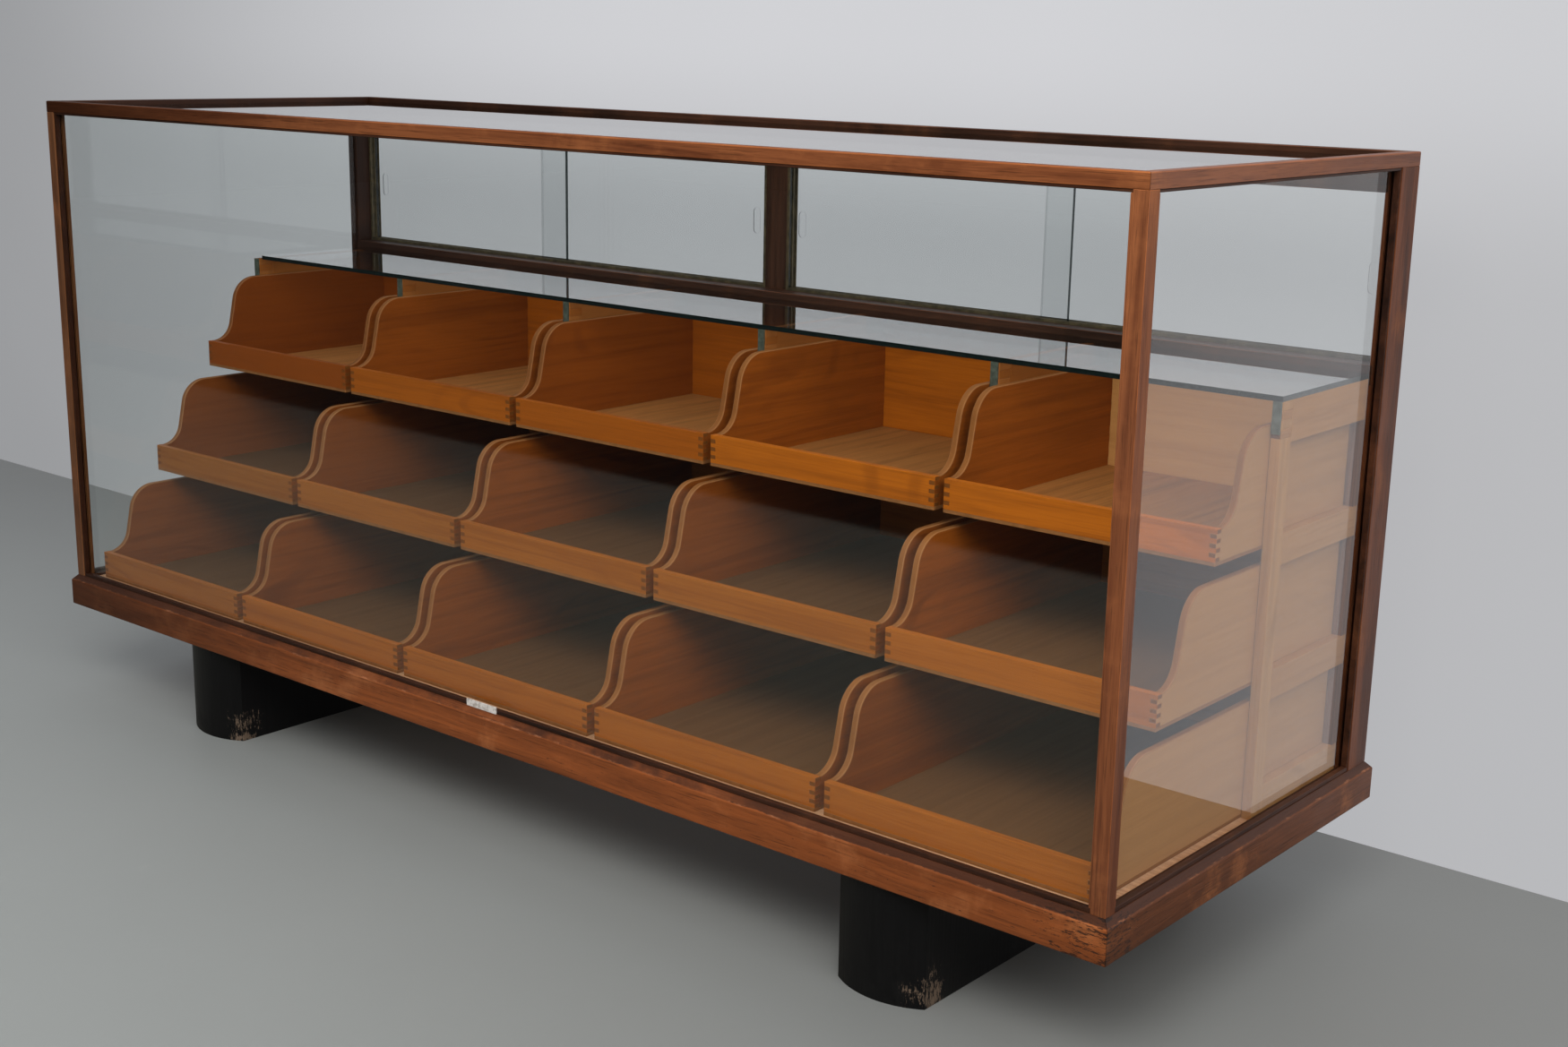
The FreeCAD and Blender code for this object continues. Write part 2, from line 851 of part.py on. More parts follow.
def knob(label, x, z):
    """A turned knob: a neck against the tray's back and a rounded head."""
    pieces = []
    for part, radius, length, start in (
        ("neck", "neck_radius", "neck_length + head_round", half_depth),
        ("head", "head_radius", "head_length", f"{half_depth} + neck_length"),
    ):
        turned = doc.addObject("Part::Cylinder", f"{label}_{part}")
        bind(turned, Radius=radius, Height=length)
        turned.Placement.Rotation = FreeCAD.Rotation(FreeCAD.Vector(1, 0, 0), -QUARTER_TURN)
        pieces.append(place(turned, x, start, z))
    doc.recompute()
    rounded = doc.addObject("Part::Fillet", f"{label}_rounded")
    rounded.Base = pieces[1]
    radius = number("head_round")
    rims = [
        index
        for index, edge in enumerate(pieces[1].Shape.Edges, start=1)
        if edge.Closed and isinstance(edge.Curve, Part.Circle)
    ]
    rounded.Edges = [(index, radius, radius) for index in rims]
    return fuse(label, pieces[0], rounded)


def tray(node, column, tier):
    """One tray: a plywood bottom under a low front, two S-shaped sides and a back, combed together."""
    middle = f"({column} - {COLUMNS // 2}) * {column_pitch}"
    left = f"{middle} - {tray_width} / 2"
    front = f"(low_tray_setback - {half_depth} + {tier} * tier_step)"
    bottom = f"{floor_top} + tray_lift + {tier} * {tier_pitch}"
    depth = f"{half_depth} - ({front})"
    walls_bottom = f"{bottom} + ply_thick"
    right_side = f"{left} + {tray_width} - side_thick"
    back_front = f"{half_depth} - back_thick"

    ply = box(f"{node}_bottom", (tray_width, depth, "ply_thick"), (left, front, bottom))
    front_blank = box(
        f"{node}_front_blank",
        (tray_width, "front_thick", "tray_front_height - ply_thick"),
        (left, front, walls_bottom),
    )
    back_blank = box(
        f"{node}_back_blank",
        (tray_width, "back_thick", f"{tray_back_height} - ply_thick"),
        (left, back_front, walls_bottom),
    )
    front_slots = []
    back_slots = []
    for hand, x in (("left", left), ("right", right_side)):
        front_slots += notch_boxes(
            f"{node}_front_slot_{hand}",
            x,
            front,
            "front_thick",
            "front_finger",
            walls_bottom,
            FRONT_NOTCHES,
        )
        back_slots += notch_boxes(
            f"{node}_back_slot_{hand}",
            x,
            back_front,
            "back_thick",
            "back_finger",
            walls_bottom,
            BACK_NOTCHES,
        )
    front_board = cut(f"{node}_front", front_blank, *front_slots)
    back_board = cut(f"{node}_back", back_blank, *back_slots)

    side_profile = [
        ("0", "ply_thick"),
        (depth, "ply_thick"),
        (depth, tray_side_height),
        (upper_end_y, tray_side_height),
        (upper_start_y, upper_start_z),
        lower_end,
        ("curve_start", "tray_front_height"),
        ("0", "tray_front_height"),
    ]
    curves = {3: ("upper_radius", 1), 5: ("lower_radius", -1)}
    sides = []
    for hand, x in (("left", left), ("right", right_side)):
        label = f"{node}_{hand}_side"
        blank = padded_body(f"{label}_blank", "YZ_Plane", side_profile, "side_thick", curves)
        place(blank, x, front, bottom)
        sides.append(cut(label, blank, front_board, back_board))

    turned_knob = knob(f"{node}_knob", middle, f"{bottom} + knob_level")
    keep(node, group(node, [ply, front_board, *sides, back_board, turned_knob]))


for tier, tier_name in enumerate(TIER_NAMES):
    for column in range(COLUMNS):
        tray(f"{tier_name}_tray_{column + 1}", column, tier)


# ---------------------------------------------------------------- bearers

foot_radius = "(((foot_width / 2) ^ 2 + foot_bow ^ 2) / (2 * foot_bow))"
foot_length = "(base_depth - 2 * foot_setback)"
foot_plan = [
    ("0", "foot_bow"),
    ("foot_width", "foot_bow"),
    ("foot_width", f"{foot_length} - foot_bow"),
    ("0", f"{foot_length} - foot_bow"),
]
foot_places = {
    "left_foot": f"(foot_left_inset - {base_half_width})",
    "right_foot": f"({base_half_width} - foot_right_inset)",
}
for node, middle in foot_places.items():
    ends = {0: (foot_radius, 1), 2: (foot_radius, 1)}
    foot = padded_body(node, "XY_Plane", foot_plan, "foot_height", ends)
    place(foot, f"{middle} - foot_width / 2", f"-{foot_length} / 2", "0")
    keep(node, foot)


# ---------------------------------------------------------------- checks and files

doc.recompute()
for obj in doc.Objects:
    if "Invalid" in obj.State or "Error" in obj.State:
        raise RuntimeError(f"{obj.Label} failed: {obj.State}")
for node, obj in sub_parts.items():
    if obj.Shape.isNull() or not obj.Shape.isValid():
        raise RuntimeError(f"{node} has no valid shape")

os.makedirs("parts", exist_ok=True)
for node, obj in sub_parts.items():
    obj.Shape.exportStep(f"parts/{node}.step")
print(len(sub_parts), "sub-parts written")
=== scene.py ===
import json
import math
import random

import bmesh
import bpy
from mathutils import Matrix, Vector

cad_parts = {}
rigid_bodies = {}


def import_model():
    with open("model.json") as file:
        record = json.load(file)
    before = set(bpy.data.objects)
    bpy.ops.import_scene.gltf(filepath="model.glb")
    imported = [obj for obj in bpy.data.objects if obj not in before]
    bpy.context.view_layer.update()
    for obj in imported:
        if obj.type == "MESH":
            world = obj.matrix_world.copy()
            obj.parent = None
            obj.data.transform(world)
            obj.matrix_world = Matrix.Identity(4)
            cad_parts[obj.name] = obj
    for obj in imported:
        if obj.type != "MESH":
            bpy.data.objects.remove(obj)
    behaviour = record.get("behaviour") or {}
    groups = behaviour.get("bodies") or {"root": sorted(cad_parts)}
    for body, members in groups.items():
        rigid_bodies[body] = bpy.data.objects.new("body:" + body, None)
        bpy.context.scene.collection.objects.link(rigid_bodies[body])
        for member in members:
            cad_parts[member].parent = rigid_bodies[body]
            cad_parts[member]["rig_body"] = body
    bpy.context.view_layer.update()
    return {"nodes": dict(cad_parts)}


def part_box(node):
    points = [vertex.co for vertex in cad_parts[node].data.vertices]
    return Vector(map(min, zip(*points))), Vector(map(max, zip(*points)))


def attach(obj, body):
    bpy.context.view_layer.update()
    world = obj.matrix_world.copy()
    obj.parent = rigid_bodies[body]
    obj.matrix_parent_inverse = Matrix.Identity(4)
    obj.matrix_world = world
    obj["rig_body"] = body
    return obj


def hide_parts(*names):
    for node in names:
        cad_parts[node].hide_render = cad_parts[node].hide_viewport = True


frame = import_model()
nodes = frame["nodes"]
scene = bpy.context.scene
scene.view_settings.view_transform = "Standard"


# ---------------------------------------------------------------- camera
# Eye level just above the counter's top, off its right-hand front corner, looking a little down
# and tilted by about a degree.

eye = (1.79421, -1.85395, 0.99565)
yaw, pitch, roll = 0.69543, -0.24041, 0.0189
forward = Vector((-math.sin(yaw) * math.cos(pitch), math.cos(yaw) * math.cos(pitch), math.sin(pitch)))
level_right = Vector((math.cos(yaw), math.sin(yaw), 0))
level_up = level_right.cross(forward)
right = math.cos(roll) * level_right + math.sin(roll) * level_up
up = math.cos(roll) * level_up - math.sin(roll) * level_right
camera = bpy.data.objects.new("camera", bpy.data.cameras.new("camera"))
scene.collection.objects.link(camera)
axes = Matrix((right, up, -forward)).transposed().to_4x4()
camera.matrix_world = Matrix.Translation(eye) @ axes
camera.data.sensor_width = 36
camera.data.lens = 45.55
camera.data.clip_end = 50
scene.camera = camera


# ---------------------------------------------------------------- floor and backdrop
# A matt grey studio floor, and a pale wall close behind the counter. The floor has a painted pool of
# light in front of the counter to the left, and painted shade away from it. The wall shows only from
# the front, and keeps no light off the counter's back. Its brightness is a painted glow, darker to the
# left and lighter towards the middle and the top. Glass mirrors the floor as far as the dim end of the
# room. Only in reflections is the floor painted dark there, painted warmer, and painted with a shadow
# to the right of the counter, and only in reflections is the wall painted brighter.


class Wire:
    """A socket of a finish. Arithmetic on it adds Math nodes."""

    def __init__(self, finish, socket):
        self.finish, self.socket = finish, socket

    def math(self, operation, *values):
        settings = {"operation": operation}
        return self.finish.node("ShaderNodeMath", settings, dict(enumerate(values)))

    def __add__(self, other):
        return self.math("ADD", self, other)

    def __sub__(self, other):
        return self.math("SUBTRACT", self, other)

    def __rsub__(self, other):
        return self.math("SUBTRACT", other, self)

    def __mul__(self, other):
        return self.math("MULTIPLY", self, other)

    def __truediv__(self, other):
        return self.math("DIVIDE", self, other)

    def __pow__(self, other):
        return self.math("POWER", self, other)

    __radd__, __rmul__ = __add__, __mul__

    def below(self, level):
        return self.math("LESS_THAN", self, level)

    def either(self, other):
        return self.math("MAXIMUM", self, other)

    def size(self):
        return self.math("ABSOLUTE", self)

    def wave(self):
        return self.math("SINE", self) * 0.5 + 0.5

    def fade(self, start, end):
        """0 at start and 1 at end, smooth between."""
        return self.finish.node(
            "ShaderNodeMapRange",
            {"interpolation_type": "SMOOTHSTEP"},
            {"Value": self, "From Min": start, "From Max": end},
        )


class Finish:
    """A material being made. node() adds any node and gives one of its outputs."""

    def __init__(self, name):
        self.material = bpy.data.materials.new(name)
        self.material.use_nodes = True
        self.tree = self.material.node_tree
        self.skin = self.tree.nodes["Principled BSDF"]
        self.output = self.tree.nodes["Material Output"]

    def feed(self, socket, value):
        if isinstance(value, Wire):
            self.tree.links.new(value.socket, socket)
        else:
            socket.default_value = value

    def node(self, kind, settings=(), inputs=(), output=0):
        added = self.tree.nodes.new(kind)
        for name, value in dict(settings).items():
            setattr(added, name, value)
        for name, value in dict(inputs).items():
            self.feed(added.inputs[name], value)
        return Wire(self, added.outputs[output])

    def place(self):
        """Where a point is in the counter's own frame, in metres."""
        return self.node("ShaderNodeTexCoord", output="Object")

    def ray(self, kind):
        """1 on rays of one kind, such as Camera or Glossy, and 0 on all others."""
        return self.node("ShaderNodeLightPath", output=f"Is {kind} Ray")

    def attribute(self, name, output="Vector"):
        return self.node("ShaderNodeAttribute", {"attribute_name": name}, output=output)

    def parts(self, vector):
        split = self.node("ShaderNodeSeparateXYZ", {}, {0: vector}).socket.node
        return [Wire(self, output) for output in split.outputs]

    def stretch(self, vector, scale):
        return self.node("ShaderNodeVectorMath", {"operation": "MULTIPLY"}, {0: vector, 1: scale})

    def noise(self, vector, scale, detail=3.0, roughness=0.55, distortion=0.0):
        """Noise with scale cells to each unit of vector: one number, or one for each axis."""
        if isinstance(scale, float):
            scale = (scale,) * 3
        inputs = {
            "Vector": self.stretch(vector, scale),
            "Scale": 1.0,
            "Detail": detail,
            "Roughness": roughness,
            "Distortion": distortion,
        }
        return self.node("ShaderNodeTexNoise", {}, inputs)

    def blend(self, share, first, second):
        """A colour that goes from first to second with share."""
        inputs = {0: share, 6: first, 7: second}
        return self.node("ShaderNodeMix", {"data_type": "RGBA"}, inputs, output=2)

    def wear(self, colour, roughness, height=None, depth=0.001, **plain):
        """Sets the surface: height is a bump that is depth metres deep, plain are even values."""
        self.feed(self.skin.inputs["Base Color"], colour)
        self.feed(self.skin.inputs["Roughness"], roughness)
        if height is not None:
            inputs = {"Height": height, "Distance": depth, "Strength": 1.0}
            self.feed(self.skin.inputs["Normal"], self.node("ShaderNodeBump", {}, inputs))
        for name, value in plain.items():
            self.skin.inputs[name.replace("_", " ")].default_value = value
        return self.material


def stage_plane(name, corners, material):
    mesh = bpy.data.meshes.new(name)
    mesh.from_pydata(corners, [], [range(4)])
    mesh.materials.append(material)
    plane = bpy.data.objects.new(name, mesh)
    scene.collection.objects.link(plane)


stage_reach = 9.0
wall_place = 0.46
wall_top = 5.0
room_end = 1.9
pool_left, pool_front = 1.1, 1.0
pool_core, pool_edge = 0.5, 1.9
worn_grey, plain_grey = (0.24, 0.254, 0.25, 1), (0.27, 0.284, 0.28, 1)
scuffed_grey = (0.33, 0.34, 0.33, 1)
floor_shade_grey = (0.15, 0.155, 0.151, 1)
dim_end_black = (0.012, 0.012, 0.012, 1)
counter_shadow = (0.03, 0.025, 0.02, 1)
mirror_warmth = (1.0, 0.88, 0.66)
paint = Finish("studio_floor")
patches = paint.noise(paint.place(), 1.6, 4)
scuffs = paint.noise(paint.place(), (14.0, 9.0, 9.0), 5, 0.7)
along, depth, _ = paint.parts(paint.place())
# Painted pool of light: the floor is lighter near the pool's centre and painted darker away from it.
spread = (((along + pool_left) * 0.75) ** 2 + (depth + pool_front) ** 2) ** 0.5
floor_colour = paint.blend(patches, worn_grey, plain_grey)
floor_colour = paint.blend(scuffs.fade(0.62, 0.8) * 0.2, floor_colour, scuffed_grey)
floor_colour = paint.blend(spread.fade(pool_core, pool_edge) * 0.95, floor_colour, floor_shade_grey)
# Only in glass reflections: the floor beyond room_end is painted dark, the whole floor is painted
# warmer, and to the right of the counter a painted shadow darkens it.
mirrored = paint.ray("Glossy")
beyond = (depth * -1).fade(room_end, room_end + 0.06) * mirrored
floor_colour = paint.blend(beyond, floor_colour, dim_end_black)
floor_colour = paint.blend(mirrored * 0.5, floor_colour, paint.stretch(floor_colour, mirror_warmth))
beside = mirrored * along.fade(0.92, 1.25)
floor_colour = paint.blend(beside * 0.6, floor_colour, counter_shadow)
stage_plane(
    "floor",
    [
        (-stage_reach, -stage_reach, 0),
        (stage_reach, -stage_reach, 0),
        (stage_reach, stage_reach, 0),
        (-stage_reach, stage_reach, 0),
    ],
    paint.wear(floor_colour, patches * 0.1 + 0.5, scuffs, 0.0004),
)

# Painted light: the wall's brightness is a glow, not lamp light. It is painted darker to the left and
# lighter towards the middle and the top.
shaded_plaster, lit_plaster = (0.27, 0.275, 0.285, 1), (0.56, 0.565, 0.59, 1)
plaster = Finish("backdrop")
across, _, height = plaster.parts(plaster.place())
mottled = plaster.noise(plaster.place(), (1.2, 1.2, 1.6), 4)
upper = (across.fade(-2.6, -0.6) - 0.35 * across.fade(0.2, 1.0)) * height.fade(0.7, 1.0)
lit = across.fade(-2.7, -0.1) * 0.5 + upper * 0.5 + mottled * 0.1
plaster.wear((0.06, 0.06, 0.06, 1), 0.9, Emission_Strength=1.0)
# Painted reflection: the wall is painted brighter where glass mirrors it, and less so high up.
lit = lit + plaster.ray("Glossy") * (1.05 - height.fade(0.5, 0.9) * 0.65)
glow = plaster.node(
    "ShaderNodeMix",
    {"data_type": "RGBA", "clamp_factor": False},
    {0: lit, 6: shaded_plaster, 7: lit_plaster},
    output=2,
)
plaster.feed(plaster.skin.inputs["Emission Color"], glow)
unseen = plaster.node("ShaderNodeNewGeometry", output="Backfacing")
for kind in ("Shadow", "Diffuse"):
    unseen = unseen.either(plaster.ray(kind))
wall_face = Wire(plaster, plaster.skin.outputs[0])
nothing = plaster.node("ShaderNodeBsdfTransparent")
shown = plaster.node("ShaderNodeMixShader", {}, {0: unseen, 1: wall_face, 2: nothing})
plaster.feed(plaster.output.inputs["Surface"], shown)
stage_plane(
    "backdrop",
    [
        (-stage_reach, wall_place, 0),
        (stage_reach, wall_place, 0),
        (stage_reach, wall_place, wall_top),
        (-stage_reach, wall_place, wall_top),
    ],
    plaster.material,
)


# ---------------------------------------------------------------- light
# An even pale room whose far end, behind the camera, is dim where glass mirrors it. Large soft
# lamps stand above and to the right of the counter. Neither glass nor polish mirrors them.

sky_white = (0.95, 0.97, 1.0, 1)
room_grey, dim_black = (0.60, 0.61, 0.63, 1), (0.02, 0.02, 0.02, 1)
lamp_white = (1.0, 0.97, 0.93)
world = bpy.data.worlds.new("room")
scene.world = world
world.use_nodes = True


class Room(Finish):
    """The world's own nodes."""

    def __init__(self, tree):
        self.tree = tree


room = Room(world.node_tree)
_, depth, height = room.parts(room.node("ShaderNodeTexCoord", output="Generated"))
mirrored = room.ray("Glossy")
seen = room.ray("Camera").either(mirrored)
dim = (depth * -1).fade(-0.25, 0.1) * (1 - height.fade(0.45, 0.85)) * mirrored
backing = room.blend(dim, room_grey, dim_black)
lighting = room.node("ShaderNodeBackground", {}, {"Color": sky_white, "Strength": 0.6})
picture = room.node("ShaderNodeBackground", {}, {"Color": backing, "Strength": 1.0})
sky = room.node("ShaderNodeMixShader", {}, {0: seen, 1: lighting, 2: picture})
room.feed(world.node_tree.nodes["World Output"].inputs["Surface"], sky)


def lamp(name, spot, aim, size, watts):
    light = bpy.data.lights.new(name, "AREA")
    light.shape = "RECTANGLE"
    light.size, light.size_y = size
    light.energy = watts
    light.color = lamp_white
    made = bpy.data.objects.new(name, light)
    scene.collection.objects.link(made)
    made.location = spot
    made.rotation_euler = (Vector(aim) - Vector(spot)).to_track_quat("-Z", "Y").to_euler()
    made.visible_glossy = False


lamp("front_lamp", (1.4, -2.2, 2.6), (0.2, 0, 0.4), (2.2, 1.4), watts=95)
lamp("side_lamp", (3.0, -0.9, 1.9), (0.6, 0, 0.4), (1.6, 1.6), watts=36)


# ---------------------------------------------------------------- bearers
# Two timber bearers from front to back with bowed ends, painted black. The paint is dusty, and
# rubbed through to the wood along the lower front corners.


def ease(piece, width, segments=2, worn_slot=-1):
    """Rounds a piece's edges, with the rounded strips in the finish of worn_slot."""
    weld = piece.modifiers.new("weld", "WELD")
    weld.merge_threshold = 0.00002
    bevel = piece.modifiers.new("eased_edges", "BEVEL")
    bevel.width = width
    bevel.segments = segments
    bevel.limit_method = "ANGLE"
    bevel.angle_limit = math.radians(25)
    bevel.material = worn_slot
    flatten(piece)


def flatten(piece):
    """Keeps broad faces flat in the shading beside their rounded edges."""
    weighted = piece.modifiers.new("flat_faces", "WEIGHTED_NORMAL")
    weighted.keep_sharp = True


def dress(name, *materials):
    """Gives a CAD piece its finishes."""
    piece = nodes[name]
    piece.data.materials.clear()
    for material in materials:
        piece.data.materials.append(material)
    return piece


bearer_rounding = 0.0025
bow_depth = 0.03
rubbed_width, rubbed_height = 0.045, 0.09
paint_blacks = (0.0018, 0.0018, 0.0022, 1), (0.004, 0.004, 0.0045, 1)
dust = (0.014, 0.014, 0.013, 1)
bare_timber = (0.12, 0.085, 0.06, 1)
for name in ("left_foot", "right_foot"):
    low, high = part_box(name)
    black = Finish(f"{name}_paint")
    place = black.place()
    x, y, z = black.parts(place)
    corner = (high.x - x).either(y - low.y - bow_depth)
    streaks = black.noise(place, (420.0, 420.0, 110.0), 5, 0.75)
    blotches = black.noise(place, 34.0, 5, 0.7)
    brushed = black.noise(place, (260.0, 260.0, 9.0), 2)
    near = (1 - corner.fade(0.0, rubbed_width)) * (1 - z.fade(0.02, rubbed_height))
    bare = (streaks * 0.5 + blotches * 0.5 + near * 0.16).fade(0.655, 0.7)
    dusty = blotches.fade(0.4, 0.8) * (1 - z.fade(0.0, rubbed_height))
    colour = black.blend(brushed, *paint_blacks)
    colour = black.blend(dusty * 0.4, colour, dust)
    colour = black.blend(bare, colour, bare_timber)
    rough = 0.5 + 0.2 * dusty + 0.2 * bare
    material = black.wear(colour, rough, brushed - bare, 0.0002, Specular_IOR_Level=0.2)
    ease(dress(name, material), bearer_rounding, segments=3)


# ---------------------------------------------------------------- base frame
# Mahogany rails mitred at the corners, with a bevelled top edge. The polish is dark and cloudy on the
# bevel and worn through to orange on the faces. The lighter line along the bevel's lower arris is
# partly worn polish and partly a painted highlight. The end rails are given darker shades than the
# front: painted shade.

grain_axes = "xyz"
rubbed_wood = (0.38, 0.135, 0.046, 1)
open_pore = (0.03, 0.01, 0.004, 1)
left_shade_brown = (0.017, 0.0045, 0.0013, 1)
old_polish = (0.014, 0.006, 0.004, 1), (0.065, 0.022, 0.010, 1)
arris_wear_and_highlight = (0.42, 0.16, 0.07, 1)
dark_scuff = (0.014, 0.008, 0.006, 1)
pore_depth = 0.00012
band_blur, band_wander = 0.0004, 0.004
arris_width = 0.0014
knock_core, knock_reach = 0.01, 0.13


def drawn_out(along, crosswise, lengthwise):
    """Noise scales for marks that run with the grain along axis number along."""
    scales = [crosswise] * 3
    scales[along] = lengthwise
    return scales


def mahogany(name, along, dark, light, worn=0.0, band=None, knocks=None, dim=0.6, polished=0.25):
    """Polished mahogany with its grain along axis number along.

    worn is the share of rubbed wood, dim how much painted shade darkens the left-hand end, polished
    the shine.
    band is the level above which the old dark polish is left, knocks a corner with dark scuffs.
    """
    wood = Finish(name)
    place = wood.place()
    pores = wood.noise(place, drawn_out(along, 520.0, 22.0), 2, 0.6)
    lines = wood.noise(place, drawn_out(along, 230.0, 5.0), 4, 0.7)
    streaks = wood.noise(place, drawn_out(along, 34.0, 1.8), 6, 0.72, 0.7)
    figure = wood.noise(place, drawn_out(along, 8.0, 0.7), 3)
    rubbed = wood.noise(place, 11.0, 5, 0.65)
    colour = wood.blend(streaks.fade(0.28, 0.7), dark, light)
    colour = wood.blend(figure.fade(0.4, 0.75) * 0.4, colour, dark)
    colour = wood.blend(rubbed.fade(0.52, 0.74) * worn, colour, rubbed_wood)
    colour = wood.blend(lines.fade(0.5, 0.7) * 0.45, colour, dark)
    colour = wood.blend(pores.fade(0.54, 0.72) * 0.45, colour, open_pore)
    x, y, level = wood.parts(place)
    # Painted shade: the left-hand end is darker, as if less light falls there.
    dim_end = 1 - x.fade(-1.0, 0.0)
    colour = wood.blend(dim_end * dim, colour, left_shade_brown)
    rough = 0.4 + 0.2 * rubbed + 0.12 * pores
    if band is not None:
        ragged = wood.noise(place, (45.0, 45.0, 160.0), 5, 0.7)
        edge = level + ragged * band_wander - band_wander / 2
        rubbed_off = x.fade(-0.75, -0.35) * (1 - x.fade(0.3, 0.6))
        polish = edge.fade(band - band_blur, band + band_blur)
        polish = polish * (1 - rubbed_off * rubbed.fade(0.35, 0.6) * 0.7)
        off_arris = ((level - band).size() / arris_width).fade(0.3, 1.0)
        arris = (1 - off_arris) * ragged.fade(0.5, 0.7)
        colour = wood.blend(polish * 0.9, colour, wood.blend(streaks, *old_polish))
        # A lighter ragged line along the arris: worn polish and a painted highlight.
        colour = wood.blend(arris * 0.5, colour, arris_wear_and_highlight)
    if knocks is not None:
        reach = ((x - knocks[0]) ** 2 + (y - knocks[1]) ** 2) ** 0.5
        cuts = wood.noise(place, (70.0, 70.0, 380.0), 4, 0.75)
        dents = (cuts + 0.15 * (1 - reach.fade(knock_core, knock_reach))).fade(0.66, 0.7)
        colour = wood.blend(dents * 0.85, colour, dark_scuff)
    height = 1 - pores.fade(0.5, 0.75)
    return wood.wear(colour, rough, height, pore_depth, Specular_IOR_Level=polished)


face_shades = (0.085, 0.024, 0.009, 1), (0.225, 0.074, 0.026, 1)
worn_shades = (0.12, 0.032, 0.01, 1), (0.34, 0.11, 0.035, 1)
shines = (0.07, 0.5, 0.25)
# How much painted shade darkens the left-hand end of each grain direction's polish.
left_shade_shares = (0.92, 0.85, 0.85)
face_woods = []
edge_woods = []
for number, axis in enumerate(grain_axes):
    look = {"dim": left_shade_shares[number], "polished": shines[number]}
    face_woods.append(mahogany(f"mahogany_{axis}", number, *face_shades, 0.3, **look))
    edge_woods.append(mahogany(f"worn_edge_{axis}", number, *worn_shades, 0.4, **look))


def mesh_piece(name, shape, materials, node, body="carcass"):
    """A piece made from bmesh shape, which stands for a CAD node."""
    mesh = bpy.data.meshes.new(name)
    shape.to_mesh(mesh)
    shape.free()
    mesh.shade_smooth()
    mesh.set_sharp_from_angle(angle=math.radians(32))
    for material in materials:
        mesh.materials.append(material)
    piece = bpy.data.objects.new(name, mesh)
    scene.collection.objects.link(piece)
    flatten(piece)
    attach(piece, body)
    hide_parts(node)
    return piece


mitre_gap = 0.0003


def mitred_rail(node, side, outline, rounding, materials):
    """A rail with outline's (inset, level) points for its section and mitred ends.

    rounding is the edge radius at each point, and the rounded strips get the second material.
    """
    low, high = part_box(node)
    shape = bmesh.new()
    rings = []
    for end in (0, 1):
        ring = []
        for inset, level in outline:
            run = inset + mitre_gap
            x = (low.x + run, high.x - run)[end]
            y = (low.y + run, high.y - run)[end]
            if side in ("front", "back"):
                y = low.y + inset if side == "front" else high.y - inset
            else:
                x = low.x + inset if side == "left" else high.x - inset
            ring.append(shape.verts.new((x, y, level)))
        rings.append(ring)
    count = len(outline)
    long_edges = []
    for index in range(count):
        after = (index + 1) % count
        shape.faces.new((rings[0][index], rings[0][after], rings[1][after], rings[1][index]))
    shape.faces.new(rings[0][::-1])
    shape.faces.new(rings[1])
    for index, radius in enumerate(rounding):
        if radius:
            long_edges.append((shape.edges.get((rings[0][index], rings[1][index])), radius))
    for edge, radius in long_edges:
        bmesh.ops.bevel(
            shape, geom=[edge], offset=radius, segments=3, profile=0.5, affect="EDGES", material=1
        )
    bmesh.ops.recalc_face_normals(shape, faces=shape.faces)
    return mesh_piece(f"{node}_board", shape, materials, node)


bevel_width = 0.0075
bevel_height = 0.008
base_thick = 0.024
base_rounding = (0.0016, 0, 0.0006, 0.0006, 0.0012)
polish_rise = 0.0012
rail_rounding = 0.0008
front_shades = (0.13, 0.034, 0.008, 1), (0.31, 0.082, 0.018, 1)
# The end rails are darker than the front: painted shade on the faces turned from the light.
end_shades = (0.05, 0.015, 0.005, 1), (0.13, 0.04, 0.013, 1)
for side in ("front", "left", "right"):
    node = f"base_{side}_rail"
    low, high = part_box(node)
    arris = high.z - bevel_height
    section = [
        (0, low.z),
        (base_thick, low.z),
        (base_thick, high.z),
        (bevel_width, high.z),
        (0, arris),
    ]
    along = 0 if side == "front" else 1
    knocks = (high.x, low.y) if side != "left" else None
    shades = front_shades if side == "front" else end_shades
    face = mahogany(f"{node}_polish", along, *shades, 0.6, arris + polish_rise, knocks, dim=0.78)
    mitred_rail(node, side, section, base_rounding, [face, face])
ease(dress("base_back_rail", face_woods[0], edge_woods[0]), rail_rounding, worn_slot=1)


# ---------------------------------------------------------------- floor board
# One broad light board let into the base frame, under the trays. Its grain runs from end to end,
# and it is stained in places.

pale_pine, ripe_pine = (0.50, 0.26, 0.14, 1), (0.72, 0.42, 0.24, 1)
stained_pine = (0.36, 0.18, 0.09, 1)
pine = Finish("floor_wood")
place = pine.place()
lines = pine.noise(place, (2.0, 160.0, 160.0), 4, 0.6)
stain = pine.noise(place, (3.0, 5.0, 5.0), 3)
colour = pine.blend(lines.fade(0.3, 0.7), pale_pine, ripe_pine)
colour = pine.blend(stain.fade(0.4, 0.8) * 0.4, colour, stained_pine)
dress("floor_board", pine.wear(colour, 0.5 + 0.2 * stain, lines, 0.0002))


# ---------------------------------------------------------------- corner posts and rear rails
# Slim mahogany posts tenoned into the base, the rear ones deeper. A head rail and a middle rail
# join the rear posts, with a short post between them in the middle.

rounded_by = {
    "front_left_post": 0.0022,
    "front_right_post": 0.0022,
    "rear_left_post": 0.001,
    "rear_right_post": 0.001,
    "rear_centre_post": 0.0008,
}
